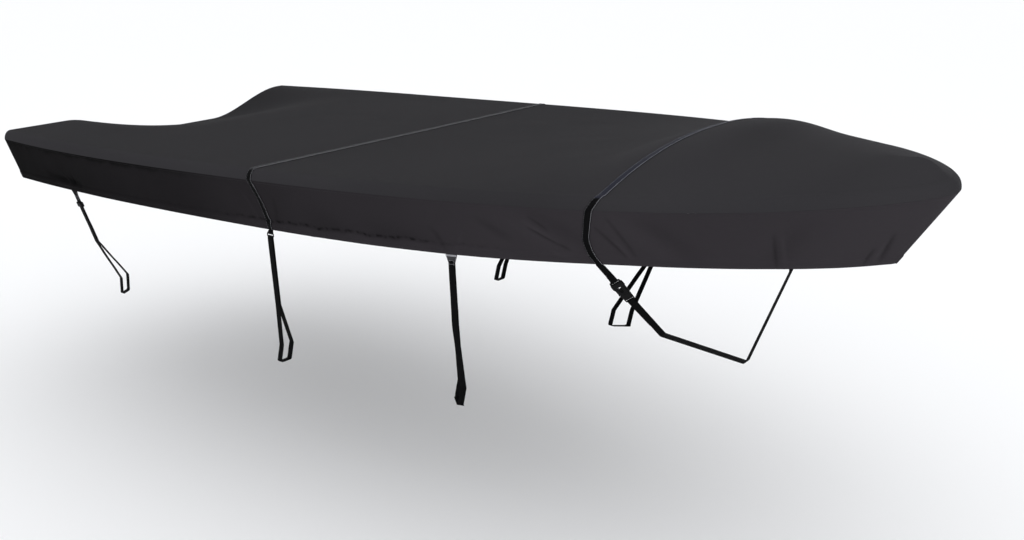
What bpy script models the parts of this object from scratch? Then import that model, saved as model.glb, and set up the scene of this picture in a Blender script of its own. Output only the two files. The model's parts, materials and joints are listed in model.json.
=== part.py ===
"""Fitted cover of a small open boat, as it sits pulled tight: cloth panels, webbing and tie-downs.

Metres, +Z up, +X towards the bow, +Y to port. The origin is the underside of the top panel,
on the centreline amidships, where the boat (not modelled) carries the cover.
Tables give distances forward of the transom; MID_X moves them to the origin.
"""

import math
from collections import namedtuple

import bmesh
import bpy
import numpy as np

# ---------------------------------------------------------------- driving sizes
MID_X = 2.05            # transom to origin
CLOTH = 0.002           # cloth thickness
FIT_GAP = 0.0003        # gap between pieces that touch
ROLL_WIDTH = 0.030      # rounded edge over the gunwale: how far in it starts
ROLL_HEIGHT = 0.040     # and how far down it ends, at the seam with the skirt
CORNER_RADIUS = 0.035   # stern corners, in plan
TOP_LEVEL = 0.005       # raises the outline so that the top panel lies on the origin amidships
HEM_BAND = 0.028        # depth of the folded hem
HEM_FOLD = 0.0018       # extra thickness of the folded hem
TRANSOM_INSET = 0.044   # how far the transom skirt leans forward to its hem
HEM_CORNER_RADIUS = 0.018
HEM_CORNER_BLEND = 0.50 # length over which the side hem leaves its corner

WEB_WIDTH = 0.025       # webbing of the straps
WEB = 0.0018            # webbing thickness
BAR_RADIUS = 0.002      # bars of the strap rings

# Half outline at the gunwale, from the stern corner to the bow tip.
# forward of transom, half beam, top level, skirt depth, inset of the hem
RIM = (
    (0.035, 0.837, -0.127, 0.182, 0.051),
    (0.40, 0.875, -0.106, 0.183, 0.055),
    (0.80, 0.895, -0.082, 0.187, 0.062),
    (1.20, 0.897, -0.057, 0.191, 0.066),
    (1.60, 0.890, -0.030, 0.195, 0.066),
    (2.05, 0.874, 0.001, 0.198, 0.066),
    (2.40, 0.848, 0.026, 0.198, 0.064),
    (2.80, 0.794, 0.055, 0.197, 0.067),
    (3.05, 0.742, 0.073, 0.197, 0.078),
    (3.28, 0.677, 0.091, 0.200, 0.093),
    (3.50, 0.592, 0.108, 0.209, 0.115),
    (3.69, 0.484, 0.124, 0.223, 0.139),
    (3.85, 0.350, 0.137, 0.240, 0.160),
    (3.94, 0.250, 0.144, 0.251, 0.172),
    (4.01, 0.150, 0.150, 0.259, 0.176),
    (4.05, 0.070, 0.154, 0.264, 0.172),
    (4.065, 0.000, 0.156, 0.266, 0.168),
)
# Rise of the centreline above the gunwale: forward of transom, rise
CROWN = (
    (0.0, 0.0), (1.60, 0.0), (2.45, 0.004), (2.80, 0.032), (3.00, 0.060), (3.22, 0.120),
    (3.36, 0.125), (3.47, 0.090), (3.60, 0.068), (3.85, 0.057), (4.00, 0.055), (4.065, 0.032),
)
CROWN_POWER = 2.2       # how full the crown stays towards the gunwale
# Cut-down of the transom for an outboard, which the cloth sinks into
DIP_CENTRE = 0.13       # the cloth is drawn a little to port there
DIP_DEPTH = 0.115
DIP_INNER = 0.20        # half width of its floor
DIP_OUTER = 0.65        # half width at its top
DIP_REACH = 0.80        # how far forward it fades out
# Slant of the skirt's cross threads: forward of transom, forward shift at the hem
SLANT = ((0.0, 0.0), (1.0, 0.020), (1.80, 0.035), (2.70, 0.020), (3.22, 0.0), (4.065, 0.0))

SPINE_AFT = 0.30        # the top panel's grid fans out from this stretch of the centreline
SPINE_CORNER = 0.42
SPINE_STRAIGHT = (0.62, 3.55)
SPINE_FORE = 3.92

TOP_STEPS = 7           # grid lines between centreline and rounded edge
ROLL_STEPS = 4
SKIRT_LEVELS = (0.0, 0.12, 0.27, 0.45, 0.63, 0.81)  # grid lines above the hem band, as shares of it
SKIRT_BOW = 0.10        # how much the skirt curves in below the gunwale, as a share of its inset
BOW_STARTS = (0.15, 0.70)   # forward of transom, where that curve comes in and where it is full
BOW_ENDS = (3.40, 3.90)     # and where it starts to fade out and is gone
HEM_STEP = 0.006        # height over which the hem's fold thickens

MID_STRAP_X = 1.80
FRONT_STRAP_X = 3.22
# How far aft the front strap bends: level (1 at the seam, 2 at the hem), distance
FRONT_BEND_AFT = (
    (0.0, 0.0), (0.45, 0.012), (1.0, 0.032), (1.3, 0.048), (1.6, 0.057), (1.85, 0.040), (2.0, 0.018),
)
BEND_REACH = 0.14       # how far the threads beside it bend too
STRAP_MARGIN = 0.002    # the grid lines beside a strap or tab lie this far outside it
AFT_SPACING = (0.15, 2.85, 0.13)    # the skirt's other grid lines: from, to, apart
FORE_SPACING = (2.90, 3.80, 0.08)
LEAST_SPACING = 0.030
BOW_STEPS = 7           # grid lines round the bow tip

# Soft folds of the skirt, drawn from below the gunwale to the hem.
# start forward of transom, start level, end forward of transom, end level, width, height
FOLD_FREE_FROM = 0.17   # level from which the folds have their full height
FOLD_CALM_FROM = 0.8    # level from which the hem flattens them
FOLD_CALM = 0.7         # share of their height that it takes away
MEAN_DEPTH = 0.2        # turns a level on the skirt into a length
FOLD_END = 0.15         # where a fold's ends lie on the arch of its height
SKIRT_FOLDS = (
    (0.30, 0.75, 0.62, 0.95, 0.16, -0.008),
    (0.95, 0.10, 1.25, 0.70, 0.22, 0.004),
    (1.62, 0.30, 1.72, 0.90, 0.12, 0.004),
    (2.05, 0.70, 2.20, 0.80, 0.10, -0.006),
    (2.30, 0.72, 2.55, 0.85, 0.10, -0.006),
    (2.90, 0.25, 3.08, 0.80, 0.07, 0.006),
    (3.00, 0.15, 3.16, 0.65, 0.06, -0.005),
    (3.27, 0.30, 3.42, 0.85, 0.06, 0.006),
    (3.34, 0.20, 3.50, 0.80, 0.06, -0.005),
    (3.78, 0.30, 3.72, 0.95, 0.07, -0.005),
)

# ---------------------------------------------------------------- tie-downs
FORWARD = np.array([1.0, 0.0, 0.0])
DOWN = np.array([0.0, 0.0, -1.0])
RAIL_WIDTH = 0.050      # the trailer rail that each loop is closed round (not modelled)
RAIL_TOP = -0.772
RAIL_BOTTOM = -0.848
RAIL_CORNER = 0.006
LEAST_STEP = 0.0006      # points of a webbing's path closer than this are one point
LAYER_SPREAD = 0.0045   # distance between a tie-down's two layers where they leave the hull
# skew is how much further aft a loop crosses the rail's inner side, where the rails converge
Tie = namedtuple("Tie", "hem_x rail_x rail_out skew chine_out chine_z")
TIE_DOWNS = {
    "aft": Tie(0.52, 0.516, 0.620, 0.026, 0.728, -0.569),
    "mid": Tie(1.80, 1.70, 0.700, 0.0, 0.744, -0.576),
    "third": Tie(2.655, 2.53, 0.550, 0.060, 0.659, -0.485),
}
TAB_LENGTH = 0.062
TAB_TUCK = 0.020        # part of a tab that is sewn behind the hem
TAB_SHOULDER = 0.004    # and the part below the hem before it narrows
TAB_WIDTHS = (0.046, 0.046, 0.046, 0.025)
TAB_LAP = 0.016         # part of a tab that the tie-down's ends are sewn to
TAB_LIFT = 0.0008       # gap between a tab and the hem that it is sewn behind
STRAP_LIFT = 0.0005     # straps lie this far off the cloth
RING_HEIGHT = 0.017
RING_CORNER = 0.0035
RING_CLEARANCE = 0.0006
RING_SIDE_GAP = 0.0015
RING_LEAD = 0.012       # below the ring, the length over which its tie-down hangs straight
MID_RING_DROP = 0.016   # from the hem to the loop's lowest point
MID_RING_TAIL = 0.014   # webbing folded back there, which ends below the hem
LOOP_TAIL = 0.030       # webbing folded back and sewn at the buckle's loops
LOOP_PAST_BAR = 0.75    # a loop starts to close this share of its width up from its end
LOOP_CLOSE = 0.012      # length over which it closes
SLIDE_LENGTH = 0.022
SLIDE_WALL = 0.0030
SLIDE_GAP = 0.0006      # between the slide and the layers inside it
FRAME_BEVEL = 0.0006
BEVEL_ANGLE = 50        # degrees: sharper edges are beveled
SMOOTH_ANGLE = 40       # degrees: flatter edges are shaded smooth
SLIDE_DROP = 0.045      # from the tie-down's end to the middle of its slide
BUCKLE_LENGTH = 0.086   # from bar to bar
BUCKLE_WIDTH = 0.044
TONGUE_WIDTH = 0.038
BUCKLE_THICKNESS = 0.011
BUCKLE_BAR = 0.0018     # half the thickness of its bars
BUCKLE_SLOT = 0.0055
BUCKLE_SPLIT = 0.62     # share of its length that the body takes up
# Where the front strap bends under the hull: forward of transom, out from centreline, height
FRONT_CHINE = (3.321, 0.450, -0.3995)
FRONT_KEEL = (3.395, 0.000, -0.618)
HULL_CLOSING = 0.5      # how far the hull's side closes in for each metre forward there
BELLY_RISE = math.radians(45)   # how steeply the hull's bottom rises forward under the strap
FOLD_ROOM = 0.040       # length beside a slanted fold over which the webbing's rows square up
PATH_SPACING = 0.030    # rows of the webbing under the hull
FRONT_SWING = 0.050     # below the hem, the length over which the strap turns forward
SWING_STEPS = 9
FRONT_LEAD = 0.081      # from the hem to the loop in the buckle
FRONT_BEND = 0.020
FRONT_LAP = 0.120       # webbing sewn to webbing on the side without a buckle
FRONT_TAIL_SHARE = 0.84 # how far towards the chine the free end reaches


# ---------------------------------------------------------------- curves
def smooth_curve(knots, values, position):
    """Cubic curve through the rows of values at the knots, with slopes from each row's neighbours."""
    knots = np.asarray(knots, float)
    values = np.asarray(values, float)
    slopes = np.gradient(values, knots, axis=0)
    i = int(np.clip(np.searchsorted(knots, position) - 1, 0, len(knots) - 2))
    span = knots[i + 1] - knots[i]
    t = min(max((position - knots[i]) / span, 0.0), 1.0)
    return (
        values[i] * (1 - t) ** 2 * (1 + 2 * t)
        + slopes[i] * span * t * (1 - t) ** 2
        + values[i + 1] * t * t * (3 - 2 * t)
        + slopes[i + 1] * span * t * t * (t - 1)
    )


def table_value(table, position):
    """Second column of a two-column table at a position in its first."""
    rows = np.array(table)
    return float(smooth_curve(rows[:, 0], rows[:, 1], position))


def smoothstep(t):
    t = min(max(t, 0.0), 1.0)
    return t * t * (3 - 2 * t)


def ramp(ends, position):
    """Smooth rise from 0 at the first of two positions to 1 at the second."""
    return smoothstep((position - ends[0]) / (ends[1] - ends[0]))


RIM_ROWS = np.array(RIM)
RIM_KNOTS = np.concatenate(
    [[0.0], np.cumsum(np.hypot(np.diff(RIM_ROWS[:, 0]), np.diff(RIM_ROWS[:, 1])))]
)
# One mirrored row past the bow tip, so that the outline crosses the centreline square to it
RIM_CURVE = np.vstack([RIM_ROWS, RIM_ROWS[-2] * np.array([1, -1, 1, 1, 1])])
RIM_CURVE_KNOTS = np.append(RIM_KNOTS, 2 * RIM_KNOTS[-1] - RIM_KNOTS[-2])
TRANSOM_RUN = RIM_ROWS[0, 1] - CORNER_RADIUS
CORNER_RUN = CORNER_RADIUS * math.pi / 2
SIDE_START = TRANSOM_RUN + CORNER_RUN
RIM_END = SIDE_START + RIM_KNOTS[-1]
CORNER_SEAM = TRANSOM_RUN + CORNER_RUN / 2


def rim_plan(run):
    """Place, outward direction, skirt depth and hem inset, a distance along the half outline."""
    half_beam = RIM_ROWS[0, 1]
    if run <= TRANSOM_RUN:
        return (0.0, run), (-1.0, 0.0), RIM_ROWS[0, 3], TRANSOM_INSET
    if run <= SIDE_START:
        angle = (run - TRANSOM_RUN) / CORNER_RADIUS
        place = (
            CORNER_RADIUS * (1 - math.cos(angle)),
            half_beam - CORNER_RADIUS * (1 - math.sin(angle)),
        )
        share = (run - TRANSOM_RUN) / CORNER_RUN
        inset = TRANSOM_INSET + (RIM_ROWS[0, 4] - TRANSOM_INSET) * share
        return place, (-math.cos(angle), math.sin(angle)), RIM_ROWS[0, 3], inset
    along = run - SIDE_START
    row = smooth_curve(RIM_CURVE_KNOTS, RIM_CURVE, along)
    step = 0.001
    ahead = smooth_curve(RIM_CURVE_KNOTS, RIM_CURVE, along + step)
    behind = smooth_curve(RIM_CURVE_KNOTS, RIM_CURVE, max(along - step, 0.0))
    tangent = (ahead - behind)[:2]
    tangent /= np.linalg.norm(tangent)
    return (row[0], row[1]), (-tangent[1], tangent[0]), row[3], row[4]


def hem_plan(run):
    """Place of the hem, in plan, below a place on the half outline."""
    (x, y), (nx, ny), _, inset = rim_plan(run)
    corner_x = TRANSOM_INSET + HEM_CORNER_RADIUS
    corner_y = RIM_ROWS[0, 1] - RIM_ROWS[0, 4] - HEM_CORNER_RADIUS
    if run <= TRANSOM_RUN:
        return TRANSOM_INSET, y * corner_y / TRANSOM_RUN
    if run <= SIDE_START:
        return corner_x + nx * HEM_CORNER_RADIUS, corner_y + ny * HEM_CORNER_RADIUS
    start_x, (start_nx, _), start_inset = CORNER_RADIUS, rim_plan(SIDE_START + 1e-6)[1], RIM_ROWS[0, 4]
    shift = corner_x - (start_x - start_nx * start_inset)
    shift *= 1 - smoothstep((x - start_x) / HEM_CORNER_BLEND)
    return x - nx * inset + shift + table_value(SLANT, x), max(y - ny * inset, 0.0)


def run_at(forward):
    """Distance along the half outline where it lies this far forward of the transom."""
    low, high = SIDE_START, RIM_END
    for _ in range(50):
        middle = (low + high) / 2
        if rim_plan(middle)[0][0] < forward:
            low = middle
        else:
            high = middle
    return (low + high) / 2


def gunwale_level(forward):
    """Height of the top panel at its rounded edge."""
    return TOP_LEVEL + float(smooth_curve(RIM_ROWS[:, 0], RIM_ROWS[:, 2], forward))


def dip(forward, y):
    """How far the cloth sinks into the transom's cut-down."""
    across = 1 - smoothstep((abs(y - DIP_CENTRE) - DIP_INNER) / (DIP_OUTER - DIP_INNER))
    return DIP_DEPTH * across * (1 - smoothstep(forward / DIP_REACH))


def spine_at(run):
    """Place on the centreline that the grid line to this rim point starts from."""
    if run <= CORNER_SEAM:
        return SPINE_AFT + (SPINE_CORNER - SPINE_AFT) * run / CORNER_SEAM
    aft, fore = SPINE_STRAIGHT
    forward = rim_plan(run)[0][0]
    if forward < aft:
        share = (run - CORNER_SEAM) / (run_at(aft) - CORNER_SEAM)
        return SPINE_CORNER + (aft - SPINE_CORNER) * share
    if forward > fore:
        share = (run - run_at(fore)) / (RIM_END - run_at(fore))
        return fore + (SPINE_FORE - fore) * share
    return forward


def fold_relief(forward, level):
    """Outward relief of the skirt from its soft folds."""
    relief = 0.0
    for x0, v0, x1, v1, width, height in SKIRT_FOLDS:
        run = np.array([x1 - x0, (v1 - v0) * MEAN_DEPTH])
        away = np.array([forward - x0, (level - v0) * MEAN_DEPTH])
        share = float(np.clip(away @ run / (run @ run), 0, 1))
        distance = float(np.linalg.norm(away - share * run))
        fade = math.sin(math.pi * (FOLD_END + (1 - 2 * FOLD_END) * share))
        relief += height * fade * math.exp(-((distance / (width / 2)) ** 2))
    return relief


# ---------------------------------------------------------------- cloth surfaces
def bent(run, level):
    """Rim distance after the aft bend of the front strap and the threads beside it.

    level is 0 where the rounded edge starts, 1 at the seam below it and 2 at the hem.
    """
    away = (rim_plan(run)[0][0] - FRONT_STRAP_X) / BEND_REACH
    return run - table_value(FRONT_BEND_AFT, level) * math.exp(-(away ** 2))


def roll_point(run, level, side):
    """Outer point of the rounded edge and its facing, from its start (0) to the seam (1)."""
    (x, y), (nx, ny), _, _ = rim_plan(run)
    angle = math.pi / 2 * level
    out = ROLL_WIDTH * (1 - math.sin(angle))
    shoulder_x, shoulder_y = x - nx * ROLL_WIDTH, max(y - ny * ROLL_WIDTH, 0.0)
    height = gunwale_level(shoulder_x) - dip(shoulder_x, shoulder_y * side)
    point = (x - nx * out, max(y - ny * out, 0.0), height - ROLL_HEIGHT * (1 - math.cos(angle)))
    return np.array(point), np.array((nx * math.sin(angle), ny * math.sin(angle), math.cos(angle)))


def top_line(run, side):
    """Outer points of the top panel on one grid line, with the direction its thickness faces."""
    shoulder = roll_point(run, 0.0, side)[0]
    spine = spine_at(run)
    points, facings = [], []
    for step in range(TOP_STEPS):
        q = step / TOP_STEPS
        x, y = spine + (shoulder[0] - spine) * q, shoulder[1] * q
        rise = table_value(CROWN, x) * (1 - q ** CROWN_POWER)
        points.append(np.array((x, y, gunwale_level(x) + rise - dip(x, y * side))))
        facings.append(np.array((0.0, 0.0, 1.0)))
    for step in range(ROLL_STEPS + 1):
        level = step / ROLL_STEPS
        point, facing = roll_point(bent(run, level), level, side)
        points.append(point)
        facings.append(facing)
    return np.array(points), np.array(facings)


def skirt_point(run, share, side):
    """Outer point of the skirt without its hem's fold, a share of the way from seam to hem."""
    bent_run = bent(run, 1.0 + share)
    (x, _), (nx, ny), depth, _ = rim_plan(bent_run)
    top = roll_point(bent_run, 1.0, side)[0] - np.array((0.0, 0.0, FIT_GAP))
    hem_x, hem_y = hem_plan(bent_run)
    hem_level = gunwale_level(x) - ROLL_HEIGHT - depth
    bow = SKIRT_BOW * ramp(BOW_STARTS, x) * (1 - ramp(BOW_ENDS, x))
    drawn_in = share + bow * math.sin(math.pi * share)
    point = np.array((
        top[0] + (hem_x - top[0]) * drawn_in,
        top[1] + (hem_y - top[1]) * drawn_in,
        top[2] + (hem_level - top[2]) * share,
    ))
    facing = np.array((nx, ny, 0.0))
    if run > SIDE_START:
        at_hem = smoothstep((share - FOLD_CALM_FROM) / (1 - FOLD_CALM_FROM))
        fade = smoothstep(share / FOLD_FREE_FROM) * (1 - FOLD_CALM * at_hem)
        point = point + facing * fold_relief(x, share) * fade
    return point, facing


def skirt_line(run, side):
    """Outer points of the skirt on one grid line, their facings and the thickness at each."""
    height = skirt_point(run, 0.0, side)[0][2] - skirt_point(run, 1.0, side)[0][2]
    band = HEM_BAND / height
    above = 1 - band - HEM_STEP / height
    shares = [share * above for share in SKIRT_LEVELS] + [above, 1 - band, 1 - band / 2, 1.0]
    folds = [0.0] * (len(SKIRT_LEVELS) + 1) + [HEM_FOLD] * 3
    points, facings, thickness = [], [], []
    for share, fold in zip(shares, folds):
        point, facing = skirt_point(run, share, side)
        points.append(point + facing * fold)
        facings.append(facing)
        thickness.append(CLOTH + fold)
    return np.array(points), np.array(facings), np.array(thickness)


def side_stations():
    """Rim distances of the grid lines along one side, with a pair of lines at each strap and tab."""
    pairs = []
    for centre, width in (
        (MID_STRAP_X, WEB_WIDTH), (FRONT_STRAP_X, WEB_WIDTH),
        (TIE_DOWNS["aft"].hem_x, TAB_WIDTHS[0]), (TIE_DOWNS["third"].hem_x, TAB_WIDTHS[0]),
    ):
        half = width / 2 + STRAP_MARGIN
        pairs += [centre - half, centre + half]
    spaced = list(np.arange(*AFT_SPACING)) + list(np.arange(*FORE_SPACING))
    kept = [x for x in spaced if min(abs(x - pair) for pair in pairs) > LEAST_SPACING]
    runs = [run_at(x) for x in sorted(kept + pairs)]
    last = runs[-1]
    return [SIDE_START] + runs + list(np.linspace(last, RIM_END, BOW_STEPS + 1)[1:])


def transom_stations():
    """Rim distances of the grid lines from the centreline to the corner seam."""
    floor = list(np.linspace(0, DIP_INNER, 4))
    slope = list(np.linspace(DIP_INNER, DIP_OUTER, 6)[1:])
    corner = [TRANSOM_RUN + CORNER_RUN * share for share in (0.0, 0.25)]
    return floor + slope + [(DIP_OUTER + TRANSOM_RUN) / 2] + corner


# ---------------------------------------------------------------- mesh helpers
def material(name, colour, roughness, metallic=0.0):
    """Principled material for one kind of piece."""
    made = bpy.data.materials.get(name) or bpy.data.materials.new(name)
    made.use_nodes = True
    shader = made.node_tree.nodes["Principled BSDF"]
    shader.inputs["Base Color"].default_value = (*colour, 1.0)
    shader.inputs["Roughness"].default_value = roughness
    shader.inputs["Metallic"].default_value = metallic
    made.diffuse_color = (*colour, 1.0)
    return made


def make_object(name, bm, surface):
    """Object from a closed mesh, its faces turned outwards and its round parts shaded smooth."""
    bmesh.ops.remove_doubles(bm, verts=bm.verts, dist=0.00001)
    bmesh.ops.recalc_face_normals(bm, faces=bm.faces)
    mesh = bpy.data.meshes.new(name)
    bm.to_mesh(mesh)
    bm.free()
    mesh.shade_smooth()
    mesh.set_sharp_from_angle(angle=math.radians(SMOOTH_ANGLE))
    made = bpy.data.objects.new(name, mesh)
    bpy.context.scene.collection.objects.link(made)
    made.data.materials.append(surface)
    return made


def place(point, side):
    """Point in the object's frame from one forward of the transom, on the side given by its sign."""
    return (point[0] - MID_X, point[1] * side, point[2])


def add_sheet(bm, front, back, side=1):
    """Closed sheet between two grids of points."""
    rows, columns = front.shape[:2]
    layers = [
        [[bm.verts.new(place(p, side)) for p in row] for row in grid] for grid in (front, back)
    ]
    outer, inner = layers
    for i in range(rows - 1):
        for j in range(columns - 1):
            bm.faces.new((outer[i][j], outer[i + 1][j], outer[i + 1][j + 1], outer[i][j + 1]))
            bm.faces.new((inner[i][j], inner[i][j + 1], inner[i + 1][j + 1], inner[i + 1][j]))
    return outer, inner


def close_edge(bm, outer, inner):
    """Wall between two rows of points."""
    for k in range(len(outer) - 1):
        bm.faces.new((outer[k], outer[k + 1], inner[k + 1], inner[k]))


# ---------------------------------------------------------------- cloth panels
def build_top_panel(surface):
    """Top panel: the whole deck and its rounded edge, mirrored about the centreline."""
    runs = transom_stations() + [CORNER_SEAM] + [
        TRANSOM_RUN + CORNER_RUN * 0.75] + side_stations()
    bm = bmesh.new()
    for side in (1, -1):
        lines = [top_line(run, side) for run in runs]
        front = np.array([points for points, _ in lines])
        back = np.array([points - facing * CLOTH for points, facing in lines])
        for grid in (front, back):
            grid[0, :, 1] = 0.0
            grid[-1, :, 1] = 0.0
        outer, inner = add_sheet(bm, front, back, side)
        close_edge(bm, [row[-1] for row in outer], [row[-1] for row in inner])
    return make_object("top_panel", bm, surface)


def build_skirt(name, runs, surface, side=1):
    """Skirt panel along one stretch of the outline."""
    front, back = [], []
    for run in runs:
        points, facings, thickness = skirt_line(run, side)
        front.append(points)
        back.append(points - facings * thickness[:, None])
    return build_panel(name, np.array(front), np.array(back), surface, side)


def build_panel(name, front, back, surface, side=1):
    """Closed panel between two grids of points."""
    bm = bmesh.new()
    outer, inner = add_sheet(bm, front, back, side)
    close_edge(bm, outer[0], inner[0])
    close_edge(bm, outer[-1], inner[-1])
    close_edge(bm, [row[0] for row in outer], [row[0] for row in inner])
    close_edge(bm, [row[-1] for row in outer], [row[-1] for row in inner])
    return make_object(name, bm, surface)


def build_skirts(surface):
    """Two side panels from the stern corners to the stem, and the transom panel between them."""
    runs = [CORNER_SEAM + FIT_GAP / 2, TRANSOM_RUN + CORNER_RUN * 0.75] + side_stations()
    for name, side in (("side_panel_port", 1), ("side_panel_starboard", -1)):
        made = build_skirt(name, runs, surface, side)
        for vertex in made.data.vertices:
            if abs(vertex.co.y) < FIT_GAP / 2:
                vertex.co.y = side * FIT_GAP / 2
    half = transom_stations() + [CORNER_SEAM - FIT_GAP / 2]
    front, back = [], []
    for run in [-r for r in reversed(half)] + half[1:]:
        side = -1 if run < 0 else 1
        points, facings, thickness = skirt_line(abs(run), side)
        mirror = np.array([1.0, side, 1.0])
        front.append(points * mirror)
        back.append((points - facings * thickness[:, None]) * mirror)
    build_panel("transom_panel", np.array(front), np.array(back), surface)


# ---------------------------------------------------------------- webbing
def unit(vector):
    vector = np.asarray(vector, float)
    return vector / np.linalg.norm(vector)


def rounded_path(points, radius, steps=4):
    """Straight runs between the points, with each corner rounded to the radius."""
    points = [np.asarray(p, float) for p in points]
    path = [points[0]]
    for before, corner, after in zip(points, points[1:], points[2:]):
        start, end = unit(before - corner), unit(after - corner)
        half_angle = math.acos(float(np.clip(start @ end, -1, 1))) / 2
        reach = min(
            radius / math.tan(half_angle),
            0.49 * np.linalg.norm(before - corner),
            0.49 * np.linalg.norm(after - corner),
        )
        centre = corner + unit(start + end) * (reach / math.cos(half_angle))
        first, last = corner + start * reach - centre, corner + end * reach - centre
        sweep = math.pi - 2 * half_angle
        for step in range(steps + 1):
            share = step / steps
            turned = first * math.sin((1 - share) * sweep) + last * math.sin(share * sweep)
            bend = centre + turned / math.sin(sweep)
            if np.linalg.norm(bend - path[-1]) > LEAST_STEP:
                path.append(bend)
    path.append(points[-1])
    return path


def ribbon_rows(path, across=FORWARD, widths=None, closed=False):
    """Edge points and facing of webbing along a path.

    across is the direction of each row, one for all or one for each point, so that webbing which
    turns over an edge at a slant still folds along that edge. Going down the port side with across
    forward, the webbing faces away from the boat, and the path is its inner face.
    """
    rows = []
    each = across if isinstance(across, list) else [across] * len(path)
    for i, point in enumerate(path):
        if closed:
            tangent = unit(path[(i + 1) % len(path)] - path[i - 1])
        else:
            tangent = unit(path[min(i + 1, len(path) - 1)] - path[max(i - 1, 0)])
        square = np.cross(each[i], tangent)
        half = (widths[i] if widths else WEB_WIDTH) / 2
        side_step = each[i] * half / np.linalg.norm(square)
        rows.append((point - side_step, point + side_step, unit(square)))
    return rows


def build_webbing(name, rows, surface, side=1, closed=False):
    """Flat webbing from its rows of inner edge points, thickened the way each row faces."""
    bm = bmesh.new()
    rings = []
    for left, right, facing in rows:
        raised = facing * WEB
        corners = (left, right, right + raised, left + raised)
        rings.append([bm.verts.new(place(p, side)) for p in corners])
    pairs = list(zip(rings, rings[1:]))
    if closed:
        pairs.append((rings[-1], rings[0]))
    for here, there in pairs:
        for k in range(4):
            bm.faces.new((here[k], here[(k + 1) % 4], there[(k + 1) % 4], there[k]))
    if not closed:
        bm.faces.new(rings[0])
        bm.faces.new(rings[-1])
    return make_object(name, bm, surface)


def spaced(path, spacing):
    """The path with points added so that no two are further apart than the spacing."""
    points = [path[0]]
    for here, there in zip(path, path[1:]):
        count = math.ceil(np.linalg.norm(there - here) / spacing)
        points += [here + (there - here) * (k / count) for k in range(1, count + 1)]
    return points


def strap_on_cover(forward):
    """Rows of a strap lying on the port half of the cover, from the centreline to the hem."""
    half = WEB_WIDTH / 2 + STRAP_MARGIN
    edges = []
    for x in (forward - half, forward + half):
        run = run_at(x)
        top, top_facings = top_line(run, 1)
        skirt, skirt_facings, _ = skirt_line(run, 1)
        edges.append((np.vstack([top, skirt[1:]]), np.vstack([top_facings, skirt_facings[1:]])))
    (aft, aft_facing), (fore, fore_facing) = edges
    inset = STRAP_MARGIN / (2 * half)
    rows = []
    for k in range(len(aft)):
        facing = unit(aft_facing[k] + fore_facing[k])
        left = aft[k] + (fore[k] - aft[k]) * inset + facing * STRAP_LIFT
        right = fore[k] + (aft[k] - fore[k]) * inset + facing * STRAP_LIFT
        rows.append((left, right, facing))
    return rows


def mirrored(rows):
    """The same rows on the other side, in the reverse order."""
    flip = np.array([1.0, -1.0, 1.0])
    return [(left * flip, right * flip, facing * flip) for left, right, facing in reversed(rows)]


def row_centre(row):
    return (row[0] + row[1]) / 2


def bar_turn(start, end, outward, tail):
    """Webbing from start to end, round a bar there and back up its outer face, as a sewn loop.

    Returns the path of its inner face and the centre of the bar.
    """
    direction = unit(end - start)
    outward = unit(outward - direction * (outward @ direction))
    across = 2 * (WEB + BAR_RADIUS + RING_CLEARANCE)
    bar = end + outward * across / 2 - direction * across / 2
    far = end + outward * across
    path = rounded_path([start, end, far, far - direction * across], across / 2, 4)[1:-1]
    path.append(far - direction * across * LOOP_PAST_BAR)
    resting = end + outward * (2 * WEB + FIT_GAP)
    closed = min(across * LOOP_PAST_BAR + LOOP_CLOSE, tail)
    path.append(resting - direction * closed)
    if tail > closed:
        path.append(resting - direction * tail)
    return path, bar


# ---------------------------------------------------------------- hardware
def build_ring(name, upper_bar, up, outward, surface, side):
    """Rectangular ring of round bar that joins two webbing loops; up runs from bar to bar."""
    across = unit(np.cross(outward, up))
    half_width = WEB_WIDTH / 2 + RING_SIDE_GAP + BAR_RADIUS
    half_height = RING_HEIGHT / 2 - BAR_RADIUS
    centre = upper_bar - up * half_height
    loops = []
    for quarter in range(4):
        sx = 1 if quarter in (0, 3) else -1
        sy = 1 if quarter in (0, 1) else -1
        for step in range(3):
            angle = math.pi / 2 * (quarter + step / 2)
            a = sx * (half_width - RING_CORNER) + RING_CORNER * math.cos(angle)
            b = sy * (half_height - RING_CORNER) + RING_CORNER * math.sin(angle)
            middle = centre + across * a + up * b
            away = across * math.cos(angle) + up * math.sin(angle)
            turns = [math.pi / 4 * k for k in range(8)]
            loops.append([
                middle + (away * math.cos(t) + outward * math.sin(t)) * BAR_RADIUS for t in turns
            ])
    bm = bmesh.new()
    rings = [[bm.verts.new(place(p, side)) for p in loop] for loop in loops]
    for here, there in zip(rings, rings[1:] + rings[:1]):
        for k in range(8):
            bm.faces.new((here[k], here[(k + 1) % 8], there[(k + 1) % 8], there[k]))
    return make_object(name, bm, surface)


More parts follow.
